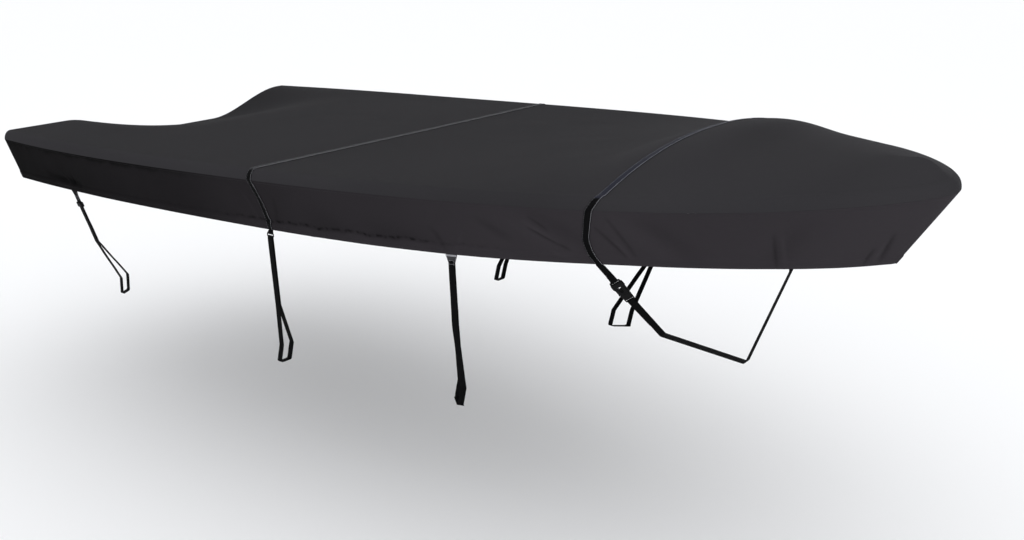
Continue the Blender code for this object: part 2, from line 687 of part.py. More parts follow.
def build_frame(name, origin, axes, outer, inner, depths, surface, side):
    """Rectangular frame with one slot through it, its edges beveled.

    outer and inner are (low, high) ranges along the first two axes; depths are half thicknesses at
    the low and high end of the outer rectangle and of the slot along the second axis.
    """
    bm = bmesh.new()
    loops = []
    for (low, high), (depth_low, depth_high) in ((outer, depths[:2]), (inner, depths[2:])):
        corners = (
            (low[0], low[1], depth_low), (high[0], low[1], depth_low),
            (high[0], high[1], depth_high), (low[0], high[1], depth_high),
        )
        for face in (1, -1):
            loops.append([
                bm.verts.new(place(origin + axes[0] * a + axes[1] * b + axes[2] * face * depth, side))
                for a, b, depth in corners
            ])
    outer_front, outer_back, inner_front, inner_back = loops
    for one, other in (
        (outer_front, outer_back), (outer_front, inner_front),
        (inner_front, inner_back), (outer_back, inner_back),
    ):
        for k in range(4):
            bm.faces.new((one[k], one[(k + 1) % 4], other[(k + 1) % 4], other[k]))
    made = make_object(name, bm, surface)
    bevel = made.modifiers.new("edges", "BEVEL")
    bevel.width = FRAME_BEVEL
    bevel.segments = 1
    bevel.limit_method = "ANGLE"
    bevel.angle_limit = math.radians(BEVEL_ANGLE)
    return made


# ---------------------------------------------------------------- tie-downs
def tie_route(name, start_out, start_in):
    """Inner face of a tie-down: down the hull, round the trailer rail and up again inside."""
    tie = TIE_DOWNS[name]
    outer, inner = tie.rail_out, tie.rail_out - RAIL_WIDTH

    def along(z):
        share = (start_out[2] - z) / (start_out[2] - RAIL_BOTTOM)
        return start_out[0] + (tie.rail_x - start_out[0]) * share

    corners = [
        (along(tie.chine_z), tie.chine_out + LAYER_SPREAD, tie.chine_z),
        (along(RAIL_TOP), outer, RAIL_TOP),
        (along(RAIL_BOTTOM), outer, RAIL_BOTTOM),
        (along(RAIL_BOTTOM) - tie.skew, inner, RAIL_BOTTOM),
        (along(RAIL_TOP) - tie.skew, inner, RAIL_TOP),
        (along(tie.chine_z), tie.chine_out, tie.chine_z),
    ]
    return [start_out, *[np.array(corner) for corner in corners], start_in]


def hem_frame(forward):
    """Inner face of the hem at a tab, the ways down the skirt and along it, and outwards."""
    half = TAB_WIDTHS[0] / 2 + STRAP_MARGIN
    inner, fall = [], []
    for x in (forward - half, forward + half):
        points, facings, thickness = skirt_line(run_at(x), 1)
        inner.append(points[-1] - facings[-1] * thickness[-1])
        fall.append(points[-1] - points[-3])
    along = unit(inner[1] - inner[0])
    outward = unit(np.cross(along, unit(fall[0] + fall[1])))
    down = unit(np.cross(outward, along))
    return (inner[0] + inner[1]) / 2, down, along, outward


def build_tabbed_tie(name, cloth, webbing, sides):
    """Tab sewn behind the hem, and the tie-down whose two ends are sewn to it."""
    hem, down, along, outward = hem_frame(TIE_DOWNS[name].hem_x)
    behind = hem - outward * (WEB + TAB_LIFT)
    top = behind - down * TAB_TUCK
    waist = behind + down * TAB_SHOULDER
    tie = TIE_DOWNS[name]
    share = (waist[2] - tie.chine_z) / (waist[2] - RAIL_BOTTOM)
    straight_x = waist[0] + (tie.rail_x - waist[0]) * share
    run = unit(np.array([straight_x, tie.chine_out, tie.chine_z]) - waist)
    end = waist + run * (TAB_LENGTH - TAB_TUCK - TAB_SHOULDER)
    tab = ribbon_rows([top, behind, waist, end], along, TAB_WIDTHS)
    lap = end - run * TAB_LAP
    lift = unit(np.cross(along, run))
    route = tie_route(name, lap + lift * (WEB + FIT_GAP), lap - lift * FIT_GAP)
    path = rounded_path(route, RAIL_CORNER, 2)
    for label, side in sides:
        build_webbing(f"{name}_tab_{label}", tab, cloth, side)
        build_webbing(f"{name}_tie_{label}", ribbon_rows(path, along), webbing, side)
    return route


def build_slide(name, route, plastic, sides):
    """Slide that holds the two layers of a tie-down together below its tab."""
    outer_run = unit(route[1] - route[0])
    middle = (route[0] + route[-1]) / 2 + outer_run * SLIDE_DROP
    layers = max(np.linalg.norm(route[0] - route[-1]), LAYER_SPREAD)
    outward = unit(np.cross(hem_frame(TIE_DOWNS[name].hem_x)[2], outer_run))
    across = unit(np.cross(outer_run, outward))
    hole = np.array([WEB_WIDTH / 2 + SLIDE_GAP, layers / 2 + WEB + SLIDE_GAP])
    block = hole + SLIDE_WALL
    for label, side in sides:
        build_frame(
            f"{name}_slide_{label}", middle, (across, outward, outer_run), (-block, block),
            (-hole, hole), (SLIDE_LENGTH / 2,) * 4, plastic, side,
        )


def build_mid_strap(webbing, plastic, sides):
    """Strap over the middle, with a ring sewn in at each hem and a tie-down loop on each ring."""
    rows = strap_on_cover(MID_STRAP_X)
    start = row_centre(rows[-1])
    outward = rows[-1][2]
    loop, upper_bar = bar_turn(start, start + DOWN * MID_RING_DROP, outward, MID_RING_TAIL)
    rows = rows + ribbon_rows([start] + loop)[1:]
    build_webbing("mid_over_strap", mirrored(rows) + rows[1:], webbing)

    up = -DOWN
    across = unit(np.cross(outward, up))
    lower_bar = upper_bar + DOWN * (RING_HEIGHT - 2 * BAR_RADIUS)
    reach = BAR_RADIUS + RING_CLEARANCE
    top_out = lower_bar + (outward + up) * reach
    top_in = lower_bar + (up - outward) * reach
    route = tie_route("mid", top_out + DOWN * RING_LEAD, top_in + DOWN * RING_LEAD)
    route = [lower_bar + up * reach, top_out] + route + [top_in, lower_bar + up * reach]
    path = rounded_path(route, RAIL_CORNER, 2)[:-1]
    for label, side in sides:
        build_ring(f"mid_ring_{label}", upper_bar, up, outward, plastic, side)
        tie = ribbon_rows(path, across, closed=True)
        build_webbing(f"mid_tie_{label}", tie, webbing, side, closed=True)


def belly_rows(path, across, outward):
    """Rows of the strap under the hull, which folds over each chine at a slant.

    across and outward are the directions of its width and outer face on the port side of the hull.
    """
    chine, keel = np.array(FRONT_CHINE), np.array(FRONT_KEEL)
    below = np.array([math.cos(BELLY_RISE), 0.0, math.sin(BELLY_RISE)])
    fold = unit(np.cross(outward, np.cross(keel - chine, below)))
    each = []
    for point in path:
        flip = np.array([1.0, math.copysign(1.0, point[1]), 1.0])
        square = across if abs(point[1]) > chine[1] else below
        away = np.linalg.norm(point * flip - chine) - FRONT_BEND
        each.append(unit(fold + (square - fold) * smoothstep(away / FOLD_ROOM)) * flip)
    return ribbon_rows(path, each)


def build_front_strap(webbing, plastic):
    """Strap over the bow: sewn to the cover, buckled on one side and closed under the keel."""
    rows = strap_on_cover(FRONT_STRAP_X)
    hem = row_centre(rows[-1])
    chine, keel = np.array(FRONT_CHINE), np.array(FRONT_KEEL)
    along = unit(chine - hem)
    outward = unit(np.cross((1.0, -HULL_CLOSING, 0.0), along))
    across = unit(np.cross(along, outward))
    hem_across = unit(rows[-1][1] - rows[-1][0])

    # The strap swings forward as it leaves the hem
    shares = [step / SWING_STEPS for step in range(1, SWING_STEPS + 1)]
    swing = [hem + along * FRONT_SWING * share for share in shares]
    turned = [unit(hem_across + (across - hem_across) * smoothstep(share)) for share in shares]
    leaving = rows + ribbon_rows([hem] + swing, [hem_across] + turned)[1:]
    top = hem + along * FRONT_LEAD
    over, upper_bar = bar_turn(swing[-1], top, outward, LOOP_TAIL)
    buckled = leaving + ribbon_rows([swing[-1]] + over, across)[1:]
    lap_end = hem + along * (FRONT_LEAD + FRONT_LAP)
    lapped = leaving + ribbon_rows([swing[-1], top, lap_end], across)[1:]
    build_webbing("front_over_strap", mirrored(buckled) + lapped[1:], webbing)

    lower_bar = upper_bar + along * BUCKLE_LENGTH
    reach = WEB + BAR_RADIUS + RING_CLEARANCE
    turn_in = lower_bar - (along + outward) * reach
    turn_out = lower_bar + (outward - along) * reach
    tail_end = hem + (chine - hem) * FRONT_TAIL_SHARE + outward * (2 * WEB + FIT_GAP)
    below = turn_in + along * LOOP_TAIL
    flip = np.array([1.0, -1.0, 1.0])
    lift = outward * (WEB + FIT_GAP)
    looped = rounded_path([tail_end, turn_out, turn_in, below], reach, 4)
    route = [below, chine, keel, chine * flip, (lap_end + lift) * flip, (top + lift) * flip]
    under = spaced(rounded_path(route, FRONT_BEND, 4), PATH_SPACING)
    belly = ribbon_rows(looped, across)[:-1] + belly_rows(under, across, outward)
    build_webbing("front_belly_strap", belly, webbing, side=-1)

    origin = upper_bar - along * BUCKLE_BAR
    length = BUCKLE_LENGTH + 2 * BUCKLE_BAR
    split = length * BUCKLE_SPLIT
    half_slot = WEB_WIDTH / 2 + RING_SIDE_GAP
    slot_start = 2 * BUCKLE_BAR
    slot_end = slot_start + BUCKLE_SLOT
    thick = BUCKLE_THICKNESS / 2
    for name, half, ends, slot, depths in (
        ("front_buckle_body", BUCKLE_WIDTH / 2, (0.0, split), (slot_start, slot_end),
         (BUCKLE_BAR, thick, BUCKLE_BAR, thick)),
        ("front_buckle_tongue", TONGUE_WIDTH / 2, (split + FIT_GAP, length),
         (length - slot_end, length - slot_start), (thick, BUCKLE_BAR, thick, BUCKLE_BAR)),
    ):
        outer = (-half, ends[0]), (half, ends[1])
        inner = (-half_slot, slot[0]), (half_slot, slot[1])
        build_frame(name, origin, (across, along, outward), outer, inner, depths, plastic, -1)


def clear_scene():
    """Remove every object that the file opened with."""
    for old in list(bpy.data.objects):
        bpy.data.objects.remove(old, do_unlink=True)


def build():
    """Build every piece of the cover."""
    clear_scene()
    cloth = material("cover_cloth", (0.030, 0.029, 0.032), 0.75)
    tab = material("tab_webbing", (0.30, 0.30, 0.31), 0.7)
    webbing = material("black_webbing", (0.012, 0.012, 0.013), 0.6)
    plastic = material("black_plastic", (0.015, 0.015, 0.016), 0.45)
    sides = (("port", 1), ("starboard", -1))
    build_top_panel(cloth)
    build_skirts(cloth)
    build_mid_strap(webbing, plastic, sides)
    aft_route = build_tabbed_tie("aft", tab, webbing, sides)
    build_slide("aft", aft_route, plastic, sides)
    build_tabbed_tie("third", tab, webbing, sides)
    build_front_strap(webbing, plastic)


build()
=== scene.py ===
"""Dresses the fitted cover of a small open boat: cloth, webbing, stitching, tabs and plastic fittings.

Metres, +Z up, +X towards the bow, +Y to port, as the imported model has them.
Lengths called forward are measured from the transom.
"""

import json
import logging
import math
from dataclasses import dataclass, field, replace
from enum import Enum
from functools import lru_cache
from typing import Any, Callable, Dict, List, Optional, Sequence, Tuple, Union

import bmesh
import bpy
import numpy as np
from mathutils import Matrix, Vector

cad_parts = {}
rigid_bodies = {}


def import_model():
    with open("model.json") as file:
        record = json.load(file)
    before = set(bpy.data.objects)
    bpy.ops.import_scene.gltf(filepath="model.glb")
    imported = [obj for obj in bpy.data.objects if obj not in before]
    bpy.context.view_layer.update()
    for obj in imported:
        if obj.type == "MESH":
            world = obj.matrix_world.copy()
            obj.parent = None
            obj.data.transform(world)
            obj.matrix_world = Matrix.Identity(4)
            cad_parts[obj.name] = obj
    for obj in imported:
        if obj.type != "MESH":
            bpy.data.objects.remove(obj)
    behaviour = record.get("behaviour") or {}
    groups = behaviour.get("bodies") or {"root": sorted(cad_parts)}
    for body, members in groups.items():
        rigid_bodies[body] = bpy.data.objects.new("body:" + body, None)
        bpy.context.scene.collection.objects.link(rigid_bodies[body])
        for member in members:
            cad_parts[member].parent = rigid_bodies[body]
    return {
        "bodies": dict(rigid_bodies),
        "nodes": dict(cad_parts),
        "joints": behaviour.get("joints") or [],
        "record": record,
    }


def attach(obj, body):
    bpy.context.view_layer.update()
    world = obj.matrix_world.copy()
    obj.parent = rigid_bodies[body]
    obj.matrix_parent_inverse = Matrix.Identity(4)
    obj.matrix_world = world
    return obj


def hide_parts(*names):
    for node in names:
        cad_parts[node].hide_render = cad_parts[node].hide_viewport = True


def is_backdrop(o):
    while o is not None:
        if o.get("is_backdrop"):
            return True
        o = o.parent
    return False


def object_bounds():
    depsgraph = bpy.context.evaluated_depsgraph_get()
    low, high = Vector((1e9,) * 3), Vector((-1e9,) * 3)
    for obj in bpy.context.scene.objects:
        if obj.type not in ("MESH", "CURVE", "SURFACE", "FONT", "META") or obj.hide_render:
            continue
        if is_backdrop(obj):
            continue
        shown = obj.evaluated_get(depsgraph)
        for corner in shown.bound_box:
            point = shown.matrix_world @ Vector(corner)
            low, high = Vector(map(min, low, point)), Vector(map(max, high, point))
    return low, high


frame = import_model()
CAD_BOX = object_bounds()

log = logging.getLogger("cover")

Array = np.ndarray
Triple = Tuple[float, float, float]
Colour = Triple
Row = Tuple[Array, Array, Array]
Socket = bpy.types.NodeSocket
Piece = bpy.types.Object
Material = bpy.types.Material
Placing = Callable[[Array], Array]

FORWARD = np.array([1.0, 0.0, 0.0])
DOWN = np.array([0.0, 0.0, -1.0])
LEAST_STEP = 0.0006
MOST_OF_RUN = 0.49
UV_NAME = "cut"
TONE_NAME = "tone"
ROOT = "root"


class Side(Enum):
    """Side of the boat, by the sign of its Y."""

    PORT = 1
    STARBOARD = -1

    @property
    def label(self) -> str:
        """The end of a node's name on this side."""
        return self.name.lower()


class Station(Enum):
    """A pair of tie-downs, by where it stands along the boat."""

    AFT = "aft"
    MID = "mid"
    THIRD = "third"


class Slot(Enum):
    """The record's material slots."""

    CLOTH = "cover_cloth"
    TAB = "tab_webbing"
    WEBBING = "black_webbing"
    PLASTIC = "black_plastic"


# ---------- curves
def smooth_curve(knots: Array, values: Array, position: Array) -> Array:
    """Cubic curve through values at the knots, with slopes from each one's neighbours.

    Args:
        knots: Rising positions of the given values.
        values: One value, or one row of values, for each knot.
        position: Where the curve is wanted.

    Returns:
        The curve at each position.
    """
    position = np.asarray(position, float)
    slopes = np.gradient(values, knots, axis=0)
    i = np.clip(np.searchsorted(knots, position) - 1, 0, len(knots) - 2)
    span = knots[i + 1] - knots[i]
    t = np.clip((position - knots[i]) / span, 0.0, 1.0)
    if values.ndim == 2:
        t = t[..., None]
        span = span[..., None]
    return (
        values[i] * (1 - t) ** 2 * (1 + 2 * t)
        + slopes[i] * span * t * (1 - t) ** 2
        + values[i + 1] * t * t * (3 - 2 * t)
        + slopes[i + 1] * span * t * t * (t - 1)
    )


def table_curve(table: Sequence[Tuple[float, float]], position: Array) -> Array:
    """Curve through a table of positions and values."""
    rows = np.array(table)
    return smooth_curve(rows[:, 0], rows[:, 1], position)


def smoothstep(t: Array) -> Array:
    """Smooth rise from 0 at 0 to 1 at 1."""
    t = np.clip(t, 0.0, 1.0)
    return t * t * (3 - 2 * t)


def ramp(ends: Tuple[float, float], position: Array) -> Array:
    """Smooth rise from 0 at the first of two positions to 1 at the second."""
    return smoothstep((position - ends[0]) / (ends[1] - ends[0]))


def bell(away: Array, width: float) -> Array:
    """1 in the middle, falling smoothly to about a third at the width."""
    return np.exp(-((away / width) ** 2))


@dataclass(frozen=True)
class Change:
    """A smooth change along a length: where it starts and how long it takes."""

    start: float
    length: float

    def rise(self, position: Array) -> Array:
        """From 0 at the start to 1 beyond it."""
        return smoothstep((position - self.start) / self.length)

    def fall(self, position: Array) -> Array:
        """From 0 at the start to 1 short of it."""
        return smoothstep((self.start - position) / self.length)


def unit(vector: Array) -> Array:
    """The vector, or each of several, at length 1."""
    vector = np.asarray(vector, float)
    return vector / np.linalg.norm(vector, axis=-1, keepdims=True)


@dataclass(frozen=True)
class Wave:
    """Smooth irregular wave along a length."""

    seed: int
    coarse: float
    height: float = 1.0
    octaves: int = 3

    SPREAD = (0.8, 1.25)
    FALL = 1.6
    PEAK = 1.9

    def at(self, position: Array) -> Array:
        """Adds up the wave, from its coarse octave to its finest.

        Args:
            position: Places along the length.

        Returns:
            The wave at each place.
        """
        chance = np.random.default_rng(self.seed)
        total = np.zeros_like(np.asarray(position, float))
        for octave in range(self.octaves):
            length = self.coarse / 2**octave * chance.uniform(*self.SPREAD)
            phase = chance.uniform(0, 2 * math.pi)
            total = total + np.sin(position * 2 * math.pi / length + phase) / self.FALL**octave
        return self.height * (total / self.PEAK)


@dataclass(frozen=True)
class Crease:
    """A soft ridge or furrow of the skirt, drawn between two places on it."""

    start: Tuple[float, float]
    end: Tuple[float, float]
    width: float
    height: float

    MEAN_DEPTH = 0.2
    END = 0.15

    def relief(self, forward: Array, share: Array) -> Array:
        """Outward relief at places on the skirt.

        Args:
            forward: Distances forward of the transom.
            share: How far down from the seam (0) to the hem (1).

        Returns:
            The relief there, in metres.
        """
        run = np.array([self.end[0] - self.start[0], (self.end[1] - self.start[1]) * self.MEAN_DEPTH])
        ahead = forward - self.start[0]
        below = (share - self.start[1]) * self.MEAN_DEPTH
        along = np.clip((ahead * run[0] + below * run[1]) / (run @ run), 0, 1)
        away = np.hypot(ahead - along * run[0], below - along * run[1])
        fade = np.sin(math.pi * (self.END + (1 - 2 * self.END) * along))
        return self.height * fade * bell(away, self.width / 2)


def crease_rows(*rows: Tuple[float, ...]) -> Tuple[Crease, ...]:
    """Creases from rows: forward and share at the start, the same at the end, width and height."""
    return tuple(Crease(row[:2], row[2:4], *row[4:]) for row in rows)


# ---------- the cover's shape
@dataclass
class Plan:
    """Places on the outline in plan, with their outward directions."""

    x: Array
    y: Array
    nx: Array
    ny: Array
    depth: Array
    inset: Array


@dataclass
class CoverShape:
    """The boat's rim and the smooth shape that the cover takes over it."""

    mid_x: float = 2.05
    roll_width: float = 0.030
    roll_height: float = 0.040
    corner_radius: float = 0.035
    top_level: float = 0.005
    hem_band: float = 0.028
    hem_fold: float = 0.0018
    hem_step: float = 0.006
    transom_inset: float = 0.044
    hem_corner_radius: float = 0.018
    hem_corner_blend: float = 0.50
    skirt_bow: float = 0.10
    fold_start: float = 0.17
    hem_calm: float = 0.2
    hem_calming: float = 0.7
    bow_starts: Tuple[float, float] = (0.15, 0.70)
    bow_ends: Tuple[float, float] = (3.40, 3.90)
    fit_gap: float = 0.0003
    crown_power: float = 2.2
    dip_centre: float = 0.13
    dip_depth: float = 0.115
    dip_inner: float = 0.20
    dip_outer: float = 0.65
    dip_reach: float = 0.80
    spine_aft: float = 0.30
    spine_corner: float = 0.42
    spine_straight: Tuple[float, float] = (0.62, 3.55)
    spine_fore: float = 3.92
    front_strap_x: float = 3.22
    bend_reach: float = 0.14
    # forward of transom, half beam, top level, skirt depth, inset of the hem
    rim: Tuple[Tuple[float, ...], ...] = (
        (0.035, 0.837, -0.127, 0.182, 0.051),
        (0.40, 0.875, -0.106, 0.183, 0.055),
        (0.80, 0.895, -0.082, 0.187, 0.062),
        (1.20, 0.897, -0.057, 0.191, 0.066),
        (1.60, 0.890, -0.030, 0.195, 0.066),
        (2.05, 0.874, 0.001, 0.198, 0.066),
        (2.40, 0.848, 0.026, 0.198, 0.064),
        (2.80, 0.794, 0.055, 0.197, 0.067),
        (3.05, 0.742, 0.073, 0.197, 0.078),
        (3.28, 0.677, 0.091, 0.200, 0.093),
        (3.50, 0.592, 0.108, 0.209, 0.115),
        (3.69, 0.484, 0.124, 0.223, 0.139),
        (3.85, 0.350, 0.137, 0.240, 0.160),
        (3.94, 0.250, 0.144, 0.251, 0.172),
        (4.01, 0.150, 0.150, 0.259, 0.176),
        (4.05, 0.070, 0.154, 0.264, 0.172),
        (4.065, 0.000, 0.156, 0.266, 0.168),
    )
    # forward of transom, rise of the centreline above the gunwale
    crown: Tuple[Tuple[float, float], ...] = (
        (0.0, 0.0), (1.60, 0.0), (2.45, 0.004), (2.80, 0.032), (3.00, 0.060), (3.22, 0.120),
        (3.36, 0.125), (3.47, 0.090), (3.60, 0.068), (3.85, 0.057), (4.00, 0.055), (4.065, 0.032),
    )
    # forward of transom, forward shift of the skirt's threads at the hem
    slant: Tuple[Tuple[float, float], ...] = (
        (0.0, 0.0), (1.0, 0.020), (1.80, 0.035), (2.70, 0.020), (3.22, 0.0), (4.065, 0.0),
    )
    # level (1 at the seam, 2 at the hem), how far aft the front strap bends there
    front_bend: Tuple[Tuple[float, float], ...] = (
        (0.0, 0.0), (0.45, 0.012), (1.0, 0.032), (1.3, 0.048), (1.6, 0.057), (1.85, 0.040), (2.0, 0.018),
    )
    folds: Tuple[Crease, ...] = crease_rows(
        (0.30, 0.75, 0.62, 0.95, 0.16, -0.008), (0.95, 0.10, 1.25, 0.70, 0.22, 0.004),
        (1.62, 0.30, 1.72, 0.90, 0.12, 0.004), (2.05, 0.70, 2.20, 0.80, 0.10, -0.006),
        (2.30, 0.72, 2.55, 0.85, 0.10, -0.006), (2.90, 0.25, 3.08, 0.80, 0.07, 0.006),
        (3.00, 0.15, 3.16, 0.65, 0.06, -0.005), (3.27, 0.30, 3.42, 0.85, 0.06, 0.006),
        (3.34, 0.20, 3.50, 0.80, 0.06, -0.005), (3.78, 0.30, 3.72, 0.95, 0.07, -0.005),
    )

    def __post_init__(self) -> None:
        """Works out the lengths along the outline."""
        self.rows = np.array(self.rim)
        steps = np.hypot(np.diff(self.rows[:, 0]), np.diff(self.rows[:, 1]))
        self.knots = np.concatenate([[0.0], np.cumsum(steps)])
        past_tip = self.rows[-2] * np.array([1, -1, 1, 1, 1])
        self.curve = np.vstack([self.rows, past_tip])
        self.curve_knots = np.append(self.knots, 2 * self.knots[-1] - self.knots[-2])
        self.half_beam = self.rows[0, 1]
        self.transom_run = self.half_beam - self.corner_radius
        self.corner_run = self.corner_radius * math.pi / 2
        self.side_start = self.transom_run + self.corner_run
        self.end = self.side_start + self.knots[-1]
        self.corner_seam = self.transom_run + self.corner_run / 2
        self.dense_runs = np.linspace(self.side_start, self.end, 4000)
        self.dense_x = self.plan(self.dense_runs).x

    def plan(self, run: Array) -> Plan:
        """Places a distance along the half outline.

        Args:
            run: Distances from the middle of the transom round the side to the bow tip.

        Returns:
            Each place, its outward direction, and the skirt's depth and inset below it.
        """
        run = np.asarray(run, float)
        along = np.maximum(run - self.side_start, 0.0)
        step = 0.001
        rows = smooth_curve(self.curve_knots, self.curve, along)
        ahead = smooth_curve(self.curve_knots, self.curve, along + step)
        behind = smooth_curve(self.curve_knots, self.curve, np.maximum(along - step, 0.0))
        tangent = unit((ahead - behind)[..., :2])
        share = np.clip((run - self.transom_run) / self.corner_run, 0.0, 1.0)
        angle = share * math.pi / 2
        aft = run <= self.side_start
        corner_y = self.half_beam - self.corner_radius * (1 - np.sin(angle))
        corner_inset = self.transom_inset + (self.rows[0, 4] - self.transom_inset) * share
        return Plan(
            x=np.where(aft, self.corner_radius * (1 - np.cos(angle)), rows[..., 0]),
            y=np.where(run <= self.transom_run, run, np.where(aft, corner_y, rows[..., 1])),
            nx=np.where(aft, -np.cos(angle), -tangent[..., 1]),
            ny=np.where(aft, np.sin(angle), tangent[..., 0]),
            depth=np.where(aft, self.rows[0, 3], rows[..., 3]),
            inset=np.where(aft, corner_inset, rows[..., 4]),
        )

    def hem_plan(self, run: Array) -> Tuple[Array, Array]:
        """Places of the hem, in plan, below places on the outline.

        Args:
            run: Distances along the outline.

        Returns:
            How far forward and how far out each place is.
        """
        at = self.plan(run)
        corner_x = self.transom_inset + self.hem_corner_radius
        corner_y = self.half_beam - self.rows[0, 4] - self.hem_corner_radius
        start = self.plan(self.side_start + 1e-6)
        shift = corner_x - (self.corner_radius - start.nx * self.rows[0, 4])
        shift = shift * (1 - smoothstep((at.x - self.corner_radius) / self.hem_corner_blend))
        side_x = at.x - at.nx * at.inset + shift + table_curve(self.slant, at.x)
        side_y = np.maximum(at.y - at.ny * at.inset, 0.0)
        on_transom = run <= self.transom_run
        on_corner = run <= self.side_start
        x = np.where(on_corner, corner_x + at.nx * self.hem_corner_radius, side_x)
        y = np.where(on_corner, corner_y + at.ny * self.hem_corner_radius, side_y)
        x = np.where(on_transom, self.transom_inset, x)
        y = np.where(on_transom, at.y * corner_y / self.transom_run, y)
        return x, y

    def run_at(self, forward: Union[float, Array]) -> Array:
        """Distance along the half outline where its side lies this far forward."""
        return np.interp(forward, self.dense_x, self.dense_runs)

    def gunwale_level(self, forward: Array) -> Array:
        """Height of the top panel at its rounded edge."""
        return self.top_level + smooth_curve(self.rows[:, 0], self.rows[:, 2], forward)

    def dip(self, forward: Array, y: Array) -> Array:
        """How far the cloth sinks into the transom's cut-down."""
        across = (np.abs(y - self.dip_centre) - self.dip_inner) / (self.dip_outer - self.dip_inner)
        return self.dip_depth * (1 - smoothstep(across)) * (1 - smoothstep(forward / self.dip_reach))

    def spine_at(self, run: Array) -> Array:
        """Place on the centreline that the top panel's grid line starts from.

        Args:
            run: Distances along the outline.

        Returns:
            How far forward each place is.
        """
        aft, fore = self.spine_straight
        forward = self.plan(run).x
        corner_share = run / self.corner_seam
        aft_share = (run - self.corner_seam) / (self.run_at(aft) - self.corner_seam)
        fore_share = (run - self.run_at(fore)) / (self.end - self.run_at(fore))
        spine = np.where(forward < aft, self.spine_corner + (aft - self.spine_corner) * aft_share, forward)
        spine = np.where(forward > fore, fore + (self.spine_fore - fore) * fore_share, spine)
        corner = self.spine_aft + (self.spine_corner - self.spine_aft) * corner_share
        return np.where(run <= self.corner_seam, corner, spine)

    def bent(self, run: Array, level: Array) -> Array:
        """Rim distance after the aft bend of the front strap and the threads beside it."""
        beside = bell(self.plan(run).x - self.front_strap_x, self.bend_reach)
        return run - table_curve(self.front_bend, level) * beside

    def roll_points(self, run: Array, level: Array, side: Side) -> Tuple[Array, Array]:
        """Outer points of the rounded edge and their facings.

        Args:
            run: Distances along the outline.
            level: From the edge's start (0) to the seam (1).
            side: The side, which the dip depends on.

        Returns:
            The points and their facings.
        """
        at = self.plan(run)
        angle = math.pi / 2 * level
        out = self.roll_width * (1 - np.sin(angle))
        shoulder_x = at.x - at.nx * self.roll_width
        shoulder_y = np.maximum(at.y - at.ny * self.roll_width, 0.0)
        height = self.gunwale_level(shoulder_x) - self.dip(shoulder_x, shoulder_y * side.value)
        points = (
            at.x - at.nx * out,
            np.maximum(at.y - at.ny * out, 0.0),
            height - self.roll_height * (1 - np.cos(angle)),
        )
        facings = (at.nx * np.sin(angle), at.ny * np.sin(angle), np.cos(angle) + 0 * at.nx)
        return np.stack(points, -1), np.stack(facings, -1)

    def top_grid(self, runs: Array, side: Side, steps: int, roll_steps: int) -> Tuple[Array, Array]:
        """Outer points of the top panel and their facings, a row for each run.

        Args:
            runs: Distances along the outline, one for each grid line.
            side: The side of the boat.
            steps: Steps from the centreline to the rounded edge.
            roll_steps: Steps round the edge.

        Returns:
            The points and their facings.
        """
        shoulder, _ = self.roll_points(runs, np.zeros_like(runs), side)
        spine = self.spine_at(runs)
        q = np.arange(steps) / steps
        x = spine[:, None] + (shoulder[:, 0] - spine)[:, None] * q
        y = shoulder[:, 1][:, None] * q
        rise = table_curve(self.crown, x) * (1 - q**self.crown_power)
        z = self.gunwale_level(x) + rise - self.dip(x, y * side.value)
        flat = np.stack([x, y, z], -1)
        levels = np.arange(roll_steps + 1) / roll_steps
        run_grid, level_grid = np.meshgrid(runs, levels, indexing="ij")
        roll, roll_facings = self.roll_points(self.bent(run_grid, level_grid), level_grid, side)
        upward = np.zeros_like(flat)
        upward[..., 2] = 1.0
        return np.concatenate([flat, roll], 1), np.concatenate([upward, roll_facings], 1)

    def skirt_points(self, run: Array, share: Array, side: Side) -> Tuple[Array, Array]:
        """Outer points of the skirt without the hem's fold, with their facings.

        Args:
            run: Distances along the outline.
            share: How far down from the seam (0) to the hem (1).
            side: The side of the boat.

        Returns:
            The points and their facings.
        """
        bent_run = self.bent(run, 1.0 + share)
        at = self.plan(bent_run)
        top, _ = self.roll_points(bent_run, np.ones_like(bent_run), side)
        top = top - np.array([0.0, 0.0, self.fit_gap])
        hem_x, hem_y = self.hem_plan(bent_run)
        hem_level = self.gunwale_level(at.x) - self.roll_height - at.depth
        bow = self.skirt_bow * ramp(self.bow_starts, at.x) * (1 - ramp(self.bow_ends, at.x))
        drawn_in = share + bow * np.sin(math.pi * share)
        points = np.stack([
            top[..., 0] + (hem_x - top[..., 0]) * drawn_in,
            top[..., 1] + (hem_y - top[..., 1]) * drawn_in,
            top[..., 2] + (hem_level - top[..., 2]) * share,
        ], -1)
        facings = np.stack([at.nx, at.ny, np.zeros_like(at.nx)], -1)
        at_hem = smoothstep((share - (1 - self.hem_calm)) / self.hem_calm)
        fade = smoothstep(share / self.fold_start) * (1 - self.hem_calming * at_hem) * (run > self.side_start)
        relief = sum(fold.relief(at.x, share) for fold in self.folds) * fade
        return points + facings * relief[..., None], facings

    def band_shares(self, run: Array, side: Side) -> Tuple[Array, Array]:
        """Shares of the skirt's depth at which the hem's fold starts and is full.

        Args:
            run: Distances along the outline.
            side: The side of the boat.

        Returns:
            The two shares at each distance.
        """
        top, _ = self.skirt_points(run, np.zeros_like(run), side)
        hem, _ = self.skirt_points(run, np.ones_like(run), side)
        height = top[..., 2] - hem[..., 2]
        return 1 - (self.hem_band + self.hem_step) / height, 1 - self.hem_band / height

    def place(self, points: Array, side: Side) -> Array:
        """Points in the object's frame from ones forward of the transom on one side."""
        return np.asarray(points) * np.array([1.0, side.value, 1.0]) - np.array([self.mid_x, 0.0, 0.0])

    def placing(self, side: Side) -> Placing:
        """The function that moves points of one side to the object's frame."""
        return lambda points: self.place(points, side)


